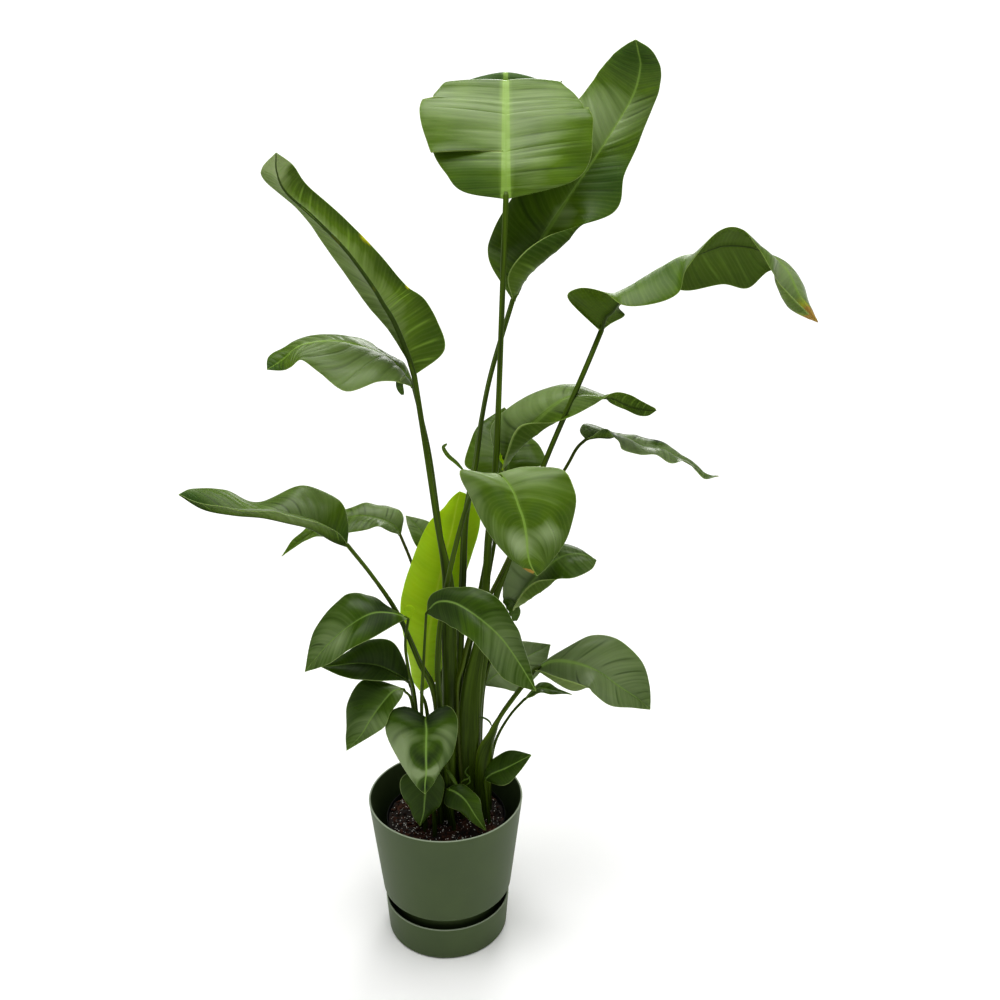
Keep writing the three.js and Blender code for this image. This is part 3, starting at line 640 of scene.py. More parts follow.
@dataclass(frozen=True)
class LeafShape:
    """One leaf's places, in millimetres.

    They were read at the pot's scale and set in depth one by one, then worked out and rounded.

    Attributes:
        name: The leaf's name, which its CAD node has too.
        foot: Where its stalk stands in the soil.
        foot_radius: The stalk's radius there.
        neck_radius: The stalk's radius where it meets the blade.
        base: The end of the blade on the stalk.
        tip: The far end of the blade.
        rows: Rows across the blade: left edge, midrib, right edge and, where the right half is folded over,
            the line along which it folds.
        stalk: The points that the stalk passes.
        ripple: Height of the waves of the edges.
        waves: Their number on a side.
        crinkle: Height of the fine uneven waves.
        strip: Half width of the midrib's pale strip.
        strip_tone: How pale the strip is.
        pleat: Height of the vaults between creases.
        creases: The least and most rows between two creases.
        lean: How far a vein leans to the tip as it crosses, as a share of the way across.
        bulge: How far a half arches up, as a share of its width.
        stalk_dry: How dry and brown the stalk is.
        wax: How much sheen is painted over the whole blade; below 0, how much shade.
        sheath: Half width of the stalk's clasping foot, the height up to which it is that wide, the height at
            which it ends, and how far it is turned about the stalk, in degrees.
        age: Which gives its finish.
        tears: Its tears.
        patches: Its patches.
    """

    name: str
    foot: tuple[float, float]
    foot_radius: float
    neck_radius: float
    base: Point
    tip: Point
    rows: tuple[tuple[Point, ...], ...]
    stalk: tuple[Point, ...] = ()
    ripple: float = 1.5
    waves: float = 3.0
    crinkle: float = 0.6
    strip: float = 2.0
    strip_tone: float = 0.6
    pleat: float = 0.7
    creases: tuple[int, int] = (6, 12)
    lean: float = 0.55
    bulge: float = 0.1
    stalk_dry: float = 0.0
    wax: float = 0.0
    sheath: tuple[float, float, float, float] = (0.0, 0.0, 0.0, 0.0)
    age: LeafAge = LeafAge.TALL
    tears: tuple[Tear, ...] = ()
    patches: tuple[Patch, ...] = ()


class Leaf:
    """A leaf: its blade stretched over five long curves, and its stalk.

    The five are the midrib, the two edges and the middle line of each half. A place on the blade is t, from 0
    at the base to 1 at the tip, and s, from -1 at the left edge to 1 at the right. Sizes are millimetres.
    """

    # The blade's thickness, the step between its rows, their least number, and where the first and last are.
    THICKNESS = 0.8
    ROW_STEP = 2.2
    LEAST_ROWS = 24
    ENDS = (0.003, 0.997)
    # A half's columns over the midrib's strip and beyond it, and how far the last but one is from the edge.
    RIB_COLUMNS = 4
    OUTER_COLUMNS = 18
    RIM = 1.2
    # A tear's rows stand TEAR_GAP apart and its lips are LIP wide. Along the blade its lift and its step fade
    # over these shares of the length.
    TEAR_GAP = 0.5
    LIP = 1.05
    LIFT_FADE = 0.06
    STEP_FADE = 0.1
    # The stalk's bottom, the height up to which it is upright, its sides, and the step between its rings.
    FOOT_HEIGHT = 152.0
    COLLAR_HEIGHT = 212.0
    STALK_SIDES = 28
    STALK_STEP = 6.0
    # The stalk tapers over the first 1 / TAPER of its way. It runs on under the blade to these places along
    # it, thinned to these shares of its neck, so that it ends inside the midrib's ridge.
    TAPER = 1.3
    NECK_PLACES = (0.03, 0.06)
    NECK_SHARES = (0.95, 0.6)
    # Below this height a sheath narrows, to half of its spread at the collar.
    SHEATH_WIDEST = 340.0
    # The stalk's depth as a share of its width, and the groove's depth and half width in radians.
    STALK_DEPTH = 0.9
    GROOVE = (0.35, 0.55)
    # Places at which a curve's length is measured, and the metres of texture that lie between two leaves.
    MEASURES = 200
    TEXTURE_STEP = 3.1

    def __init__(self, shape: LeafShape, seed: int) -> None:
        """Works out the long curves.

        Args:
            shape: The leaf's places.
            seed: Picks the uneven spacing of its creases, its crinkles and its own part of the texture.
        """
        self.shape = shape
        self.seed = seed
        self.rng = np.random.default_rng(seed)
        self.edges = (self._curve(0), self._curve(2))
        self.midrib = self._curve(1)
        self.halves = (self._halfway(-1), self._halfway(1))
        self.length = self._measure(self.midrib)

    def _curve(self, place: int) -> np.ndarray:
        """Gives the points of a long curve: the base, the point at one place of every row, and the tip."""
        return np.array([self.shape.base, *(row[place] for row in self.shape.rows), self.shape.tip], float)

    def _measure(self, points: np.ndarray) -> float:
        """Measures the smooth curve through points, as the sum of its short straight steps."""
        line = smooth_curve(points, np.linspace(0, 1, self.MEASURES))
        return float(np.linalg.norm(np.diff(line, axis=0), axis=1).sum())

    def _halfway(self, side: int) -> np.ndarray:
        """Finds the points halfway between the midrib and an edge.

        Each lies halfway along the straight line across, raised to the upper side by bulge times its length,
        or on the fold that the row gives.

        Args:
            side: -1 for the left half, 1 for the right.

        Returns:
            The points, one a row.
        """
        across = self.edges[0 if side < 0 else 1] - self.midrib
        ahead = np.vstack([self.midrib[1:], self.midrib[-1:]])
        behind = np.vstack([self.midrib[:1], self.midrib[:-1]])
        arch = unit(np.cross(across, ahead - behind) * side)
        width = np.linalg.norm(across, axis=1, keepdims=True)
        middle = self.midrib + across / 2 + arch * self.shape.bulge * width
        for i, row in enumerate(self.shape.rows, start=1):
            if side > 0 and len(row) > 3:
                middle[i] = row[3]
        return middle

    def point(self, t: np.ndarray, s: np.ndarray) -> np.ndarray:
        """Gives points of the blade's middle surface.

        Each half is an arc M(1-u)^2 + 2B u(1-u) + E u^2 from the midrib M to the edge E, where u is s without
        its sign and B is set so that the arc passes the halfway curve at u = 1/2.

        Args:
            t: Place along the blade, 0 to 1.
            s: Place across, -1 to 1.

        Returns:
            The points, in millimetres.
        """
        u = np.abs(s)[..., None]
        middle = smooth_curve(self.midrib, t)
        sides = []
        for half, edge in zip(self.halves, self.edges):
            end = smooth_curve(edge, t)
            bend = 2 * smooth_curve(half, t) - (middle + end) / 2
            sides.append(middle * (1 - u) ** 2 + 2 * bend * u * (1 - u) + end * u * u)
        return np.where((s < 0)[..., None], sides[0], sides[1])

    def normal(self, t: np.ndarray, s: np.ndarray) -> np.ndarray:
        """Gives the direction that the upper side faces: a small step across times a small step along.

        The blade comes to a point at its ends, so the direction there is the one a little way in.

        Args:
            t: Place along the blade, 0 to 1.
            s: Place across, -1 to 1.

        Returns:
            The directions, of length 1.
        """
        place = np.clip(t, 0.04, 0.97)
        along = self.point(place + 0.008, s) - self.point(place - 0.008, s)
        step = self.point(place, np.minimum(s + 0.03, 1.0)) - self.point(place, np.maximum(s - 0.03, -1.0))
        return unit(np.cross(step, along))

    def _rows(self) -> np.ndarray:
        """Places the rows along the midrib, ROW_STEP apart, with a close group of three at each tear.

        Returns:
            The place of each row, rising from 0 to 1.
        """
        count = max(self.LEAST_ROWS, round(self.length / self.ROW_STEP))
        rows = np.linspace(*self.ENDS, count)
        gap = self.TEAR_GAP / self.length
        for tear in self.shape.tears:
            rows = rows[np.abs(rows - tear.place) > 2 * gap]
            rows = np.concatenate([rows, [tear.place - gap, tear.place, tear.place + gap]])
        return np.sort(rows)

    def _creases(self, count: int) -> tuple[np.ndarray, np.ndarray]:
        """Spaces the creases of one half unevenly over its rows.

        Args:
            count: Number of rows.

        Returns:
            For each row, the height of the vault between two creases, |sin|^0.7 of its place between them
            times a random quarter to whole, and the crease's depth, 0 between creases.
        """
        low, high = self.shape.creases
        steps = self.rng.integers(low, high + 1, count // low + 2)
        place = np.concatenate([[0], np.cumsum(steps)])
        index = np.arange(count)
        gap = np.searchsorted(place, index, side="right") - 1
        vault = np.abs(np.sin(np.pi * (index - place[gap]) / steps[gap])) ** 0.7
        vault = vault * self.rng.uniform(0.25, 1.0, len(steps))[gap]
        crease = np.where(index == place[gap], 0.8 * self.rng.uniform(0, 1, len(steps))[gap] ** 2, 0.0)
        return vault, crease

    def _torn(
        self, side: int, tau: np.ndarray, u: np.ndarray
    ) -> tuple[np.ndarray, np.ndarray, np.ndarray, np.ndarray]:
        """Works out what the tears of one half do to its grid.

        The lips rise and sink by half of lift, and slide by half of overlap, most at the margin and at the
        tear. The row on the tear itself is drawn in to the tear's reach, which leaves the slit open.

        Args:
            side: -1 for the left half, 1 for the right.
            tau: Place of each row on the midrib.
            u: Place of each corner across the half, 0 to 1.

        Returns:
            The share of its width that each row keeps, the height and the shift along the blade that each
            corner gets, and whether it stands on a lip.
        """
        reach = np.ones((len(tau), 1))
        lift = np.zeros((len(tau), 1))
        shift = np.zeros((len(tau), 1))
        lip = np.zeros(u.shape, bool)
        for tear in (tear for tear in self.shape.tears if tear.side == side):
            beyond = tau - tear.place
            torn = smoothstep(tear.reach * 0.8, 1.0, u)
            opening = (np.sign(beyond) * np.exp(-np.abs(beyond) / self.LIFT_FADE))[:, None] * torn
            lift = lift + 0.5 * tear.lift * opening
            shift = shift - 0.5 * tear.overlap / self.length * opening
            wider = np.where(beyond > 0, np.exp(-beyond / self.STEP_FADE), 0.0)
            reach = reach + tear.step * wider[:, None]
            reach[np.argmin(np.abs(beyond))] = tear.reach
            lip |= (np.abs(beyond[:, None]) < self.LIP / self.length) & (u > tear.reach)
        return reach, lift, shift, lip

    def _half(self, side: int, tau: np.ndarray) -> dict[str, np.ndarray]:
        """Works out the grid of one half, with its columns from the midrib to the edge.

        A row follows the veins: it leaves the midrib at tau and leans towards the tip by lean times its
        distance across to the power of 1.2, and less near both ends of the blade. The columns stand close
        together over the midrib's pale strip, which narrows to the tip, and evenly beyond it.

        Args:
            side: -1 for the left half, 1 for the right.
            tau: Place of each row on the midrib.

        Returns:
            For each corner: its places s and t, the height lift that is added, its distance from the midrib
            in mm (width) and in widths of the strip (rib), from the edge in mm (edge), and how much of a
            crease it is (crease).
        """
        shape = self.shape
        midrib, margin = smooth_curve(self.midrib, tau), smooth_curve(self.edges[0 if side < 0 else 1], tau)
        width = (np.linalg.norm(margin - midrib, axis=1) + 0.3)[:, None]
        strip = (shape.strip * (1 - tau) ** 0.7 + 0.7)[:, None]
        inner = np.minimum(strip / width, 0.4) * np.linspace(0, 1, self.RIB_COLUMNS + 1)
        rim = np.maximum(1 - self.RIM / width, 0.8)
        outer = inner[:, -1:] + (rim - inner[:, -1:]) * np.linspace(0, 1, self.OUTER_COLUMNS + 1)[1:]
        u = np.hstack([inner, outer, np.ones_like(width)])
        reach, lift, shift, lip = self._torn(side, tau, u)
        edge = (1 - u) * width
        edge = np.where(lip, np.minimum(edge, 0.3), edge)
        u = u * reach
        lean = shape.lean * width * np.minimum(u, 1.0) ** 1.2 / self.length
        place = tau[:, None]
        t = np.clip(place + lean * (1 - place) ** 0.3 * place**0.3, *self.ENDS)
        t = np.clip(np.maximum.accumulate(t, axis=0) + shift, *self.ENDS)
        vault, crease = self._creases(len(tau))
        # Where rows stand closer than ROW_STEP, the vaults sink in proportion, so that they don't cross.
        pace = np.linalg.norm(np.gradient(midrib, axis=0), axis=1)
        vault = vault * np.minimum(pace / self.ROW_STEP, 1.0)
        swell = shape.pleat * np.sin(np.pi * np.clip(u, 0, 1) ** 0.6) ** 0.6
        return {
            "s": side * u,
            "t": t,
            "width": width * u,
            "lift": lift + vault[:, None] * swell,
            "rib": width * u / strip,
            "edge": edge,
            "crease": crease[:, None] * smoothstep(0.02, 0.3, u) * (1 - smoothstep(0.7, 1.0, u)),
        }

    def blade(self) -> Surface:
        """Builds the blade.

        Both halves' grids join at the midrib. Heights are added along the normal: the waves of the edge, the
        vaults between creases and the lift of torn lips. The midrib is a shallow channel above, a cosine
        across the strip, and a round ridge below, an ellipse that thins to the tip.

        Returns:
            The closed skin of both faces: material 0 above, 1 below.
        """
        shape = self.shape
        tau = self._rows()
        left, right = self._half(-1, tau), self._half(1, tau)
        both = {key: np.hstack([left[key][:, :0:-1], right[key]]) for key in left}
        s, t, width, place = both["s"], both["t"], both["width"], tau[:, None]
        normal = self.normal(t, s)
        centre = self.point(t, s) + normal * (self._ripple(t, s) + both["lift"])[..., None]
        ridge_radius = 0.75 * shape.neck_radius * (1 - place) ** 0.8 + 0.5
        ridge = 1.25 * ridge_radius * np.sqrt(np.clip(1 - (width / ridge_radius) ** 2, 0, 1))
        channel = 0.10 * shape.strip * (1 - place) * np.cos(np.clip(both["rib"], 0, 1) * np.pi / 2)
        thin = self.THICKNESS / 2 * smoothstep(-1.0, 2.0, both["edge"])
        upper = centre + normal * (thin - channel)[..., None]
        lower = centre - normal * np.maximum(thin, ridge)[..., None]
        along = self.TEXTURE_STEP * self.seed + place * self.length * MM + 0 * s
        uv = np.stack([along, np.sign(s) * width * MM], -1)
        # The crease mark paints shade along the creases on an older leaf's upper face.
        marks = {"margin": 0.7 * (1 - smoothstep(0.3, 1.2, both["edge"])), "crease": both["crease"]}
        marks |= self._patches(t, s, width)
        marks = {key: both_faces(value, value) for key, value in marks.items()}
        strip = shape.strip_tone * (1 - smoothstep(0.7, 1.15, both["rib"]))
        keel = 0.9 * (1 - smoothstep(0.35, 0.85, width / ridge_radius))
        marks["rib"] = both_faces(strip, keel)
        columns = s.shape[1]
        material = np.arange(2 * columns) // columns
        return ring_skin(both_faces(upper, lower), both_faces(uv, uv), marks, material)

    def _ripple(self, t: np.ndarray, s: np.ndarray) -> np.ndarray:
        """Gives the height of the edge's waves.

        Broad ones, a sine along the blade, grow with the square of s, and small uneven ones with its cube.
        Both die away towards the ends as the root of sin(pi t).

        Args:
            t: Place along the blade, 0 to 1.
            s: Place across, -1 to 1.

        Returns:
            The height of each place, in mm.
        """
        shape = self.shape
        phase = np.where(s < 0, 0.9, 2.6)
        broad = shape.ripple * s**2 * np.sin(2 * np.pi * shape.waves * t + phase)
        fine = shape.crinkle * np.abs(s) ** 3 * lumps(t * self.length, np.sign(s) * 50, 34.0, self.seed)
        return (broad + fine) * np.sqrt(np.sin(np.pi * t))

    def _patches(self, t: np.ndarray, s: np.ndarray, width: np.ndarray) -> dict[str, np.ndarray]:
        """Gives how strongly each corner lies in the patches of each kind.

        A patch is a bell: its strength at its centre, falling as exp(-(distance / size)^2).

        Args:
            t: Place of each corner along the blade.
            s: Place across.
            width: Distance from the midrib, mm.

        Returns:
            The attributes dry, yellow and wax, which is painted sheen above 0 and painted shade below.
        """
        # The blade's own painted sheen, painted shade where below 0, to which the patches add.
        marks = {"dry": 0 * t, "yellow": 0 * t, "wax": 0 * t + self.shape.wax}
        scale = width / np.maximum(np.abs(s), 1e-3)
        for patch in self.shape.patches:
            key, sign = patch.kind.value
            distance = np.hypot((t - patch.place) * self.length, (s - patch.across) * scale / patch.stretch)
            marks[key] = marks[key] + sign * patch.strength * np.exp(-((distance / patch.size) ** 2))
        marks["yellow"] = smoothstep(0.3, 0.9, marks["yellow"])
        return marks

    def _route(self) -> tuple[np.ndarray, np.ndarray, np.ndarray]:
        """Lays the stalk's route, from its foot in the soil to just inside the midrib's ridge.

        Returns:
            The place, the direction and the radius of each ring.
        """
        shape = self.shape
        collar = (*shape.foot, self.COLLAR_HEIGHT)
        route = np.array([collar, *shape.stalk, shape.base], float)
        t = np.linspace(0, 1, max(8, round(self._measure(route) / self.STALK_STEP)))
        ahead, behind = np.minimum(t + 0.004, 1), np.maximum(t - 0.004, 0)
        tangent = unit(smooth_curve(route, ahead) - smooth_curve(route, behind))
        start, finish = self.point(np.array(self.NECK_PLACES), np.zeros(2))
        line = np.vstack([(*shape.foot, self.FOOT_HEIGHT), smooth_curve(route, t), start, finish])
        tangent = np.vstack([(0, 0, 1), tangent, unit(start - line[-3]), unit(finish - start)])
        tangent[1] = (0, 0, 1)
        taper = (shape.neck_radius - shape.foot_radius) * np.minimum(1, self.TAPER * t)
        neck = [shape.neck_radius * share for share in self.NECK_SHARES]
        return line, tangent, np.concatenate([[shape.foot_radius], shape.foot_radius + taper, neck])

    def stalk(self) -> Surface:
        """Builds the stalk.

        A ring stands square to the route every STALK_STEP. It is an ellipse with a groove on the side that
        the blade's upper face looks to. Towards the foot it widens sideways into the clasping sheath, whose
        sides bend up as the square of the cosine.

        Returns:
            The closed skin, of material 2.
        """
        line, tangent, radius = self._route()
        wide = radius
        clasp = np.zeros(len(line))
        spread, full, top, turn = self.shape.sheath
        if top > 0:
            height = line[:, 2]
            clasp = smoothstep(top, full, height)
            share = clasp * (0.5 + 0.5 * smoothstep(self.COLLAR_HEIGHT, self.SHEATH_WIDEST, height))
            wide = np.maximum(radius, radius + (spread - radius) * share)
        first = np.array(self.shape.rows[0], float)
        sideways = first[2] - first[0]
        right = unit(sideways - (tangent @ sideways)[:, None] * tangent)
        turned = (np.radians(turn) * clasp)[:, None]
        right = right * np.cos(turned) + np.cross(right, tangent) * np.sin(turned)
        up = np.cross(right, tangent)
        angle = math.pi - (np.arange(self.STALK_SIDES) + 0.5) * 2 * math.pi / self.STALK_SIDES
        depth, half_width = self.GROOVE
        groove = depth * np.exp(-(((angle - math.pi / 2) / half_width) ** 2))
        x = wide[:, None] * np.cos(angle)
        y = radius[:, None] * (np.sin(angle) - groove) * self.STALK_DEPTH
        bent = 0.25 * (wide - radius)[:, None] * (np.cos(angle) ** 2)
        rings = line[:, None] + right[:, None] * x[..., None] + up[:, None] * (y + bent)[..., None]
        distance = np.concatenate([[0], np.cumsum(np.linalg.norm(np.diff(line, axis=0), axis=1))])
        along = self.TEXTURE_STEP * self.seed + distance[:, None] * MM
        # A radian round the stalk is 6 mm of texture, a stalk's usual radius.
        uv = np.stack(np.broadcast_arrays(along, angle * 0.006), -1)
        rim = smoothstep(0.93, 1.0, np.abs(np.cos(angle))) * smoothstep(0.0, 4.0, wide - radius)[:, None]
        marks = {"edge_line": 0.5 * rim, "dry": 0 * rim + self.shape.stalk_dry}
        return ring_skin(rings, uv, marks, np.full(self.STALK_SIDES, 2))

    def make(self, finishes: Finishes, stalk_finish: bpy.types.Material) -> bpy.types.Object:
        """Builds the leaf's object, which stands for its CAD node.

        Args:
            finishes: The upper and lower face's finish at each age.
            stalk_finish: The stalk's finish.

        Returns:
            The object.
        """
        surfaces = [self.blade(), self.stalk()]
        used = [*finishes[self.shape.age], stalk_finish]
        piece = make_piece("fine_" + self.shape.name, surfaces, used)
        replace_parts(piece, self.shape.name)
        return piece


@dataclass(frozen=True)
class Shred:
    """A loose bit of the plant: a bract, a torn strip or a dried curl, as a thin ribbon curled across.

    Attributes:
        name: Its piece's name.
        line: The points that its middle passes, mm.
        half_width: Half its width at its widest, mm.
        curl: How far its edges bend up, as a share of the half width.
        facing: The direction that its upper face looks to.
        age: Whose finish it has.
        dry: How dry and brown it is.
    """

    name: str
    line: tuple[Point, ...]
    half_width: float
    curl: float = 0.5
    facing: Point = (0.0, -1.0, 0.4)
    age: LeafAge = LeafAge.LOW
    dry: float = 0.0

    # The thickness in mm, the metres of texture along it, and its grid.
    THICKNESS = 0.6
    TEXTURE = 0.1
    ROWS = 30
    COLUMNS = 9

    def skin(self) -> Surface:
        """Builds the ribbon.

        Its width follows the root of a sine, so that it narrows to its ends. Across, it is curved like a
        gutter, rising with the square of s, which runs from -1 at one edge to 1 at the other.

        Returns:
            The closed skin of both faces: material 0 above, 1 below.
        """
        t = np.linspace(0, 1, self.ROWS)
        middle = smooth_curve(np.array(self.line, float), t)
        tangent = unit(np.gradient(middle, axis=0))
        right = unit(np.cross(tangent, np.array(self.facing)))
        up = np.cross(right, tangent)
        s = np.linspace(-1, 1, self.COLUMNS)[None, :, None]
        width = (self.half_width * np.sqrt(np.sin(np.pi * (0.03 + 0.94 * t))))[:, None, None]
        centre = middle[:, None] + right[:, None] * s * width + up[:, None] * self.curl * width * s**2
        normal = unit(up[:, None] - 2 * self.curl * s * right[:, None])
        thin = self.THICKNESS / 2 * np.sqrt(1.04 - s**2)
        rings = both_faces(centre + normal * thin, centre - normal * thin)
        along = t[:, None] * self.TEXTURE + 0 * rings[..., 0]
        uv = np.stack([along, both_faces(s, s)[..., 0] * width[..., 0] * MM], -1)
        material = np.arange(2 * self.COLUMNS) // self.COLUMNS
        return ring_skin(rings, uv, {"dry": 0 * along + self.dry}, material)

    def make(self, finishes: Finishes) -> bpy.types.Object:
        """Builds the piece, which only the dressed plant has."""
        return make_piece(self.name, [self.skin()], [*finishes[self.age]])


# What most low leaves have in common.
LOW_LEAF: dict[str, object] = {
    "ripple": 2, "waves": 2, "age": LeafAge.LOW, "strip": 1, "strip_tone": 0.65, "pleat": 0.4,
    "creases": (6, 18), "crinkle": 1.2, "lean": 0.9,
}
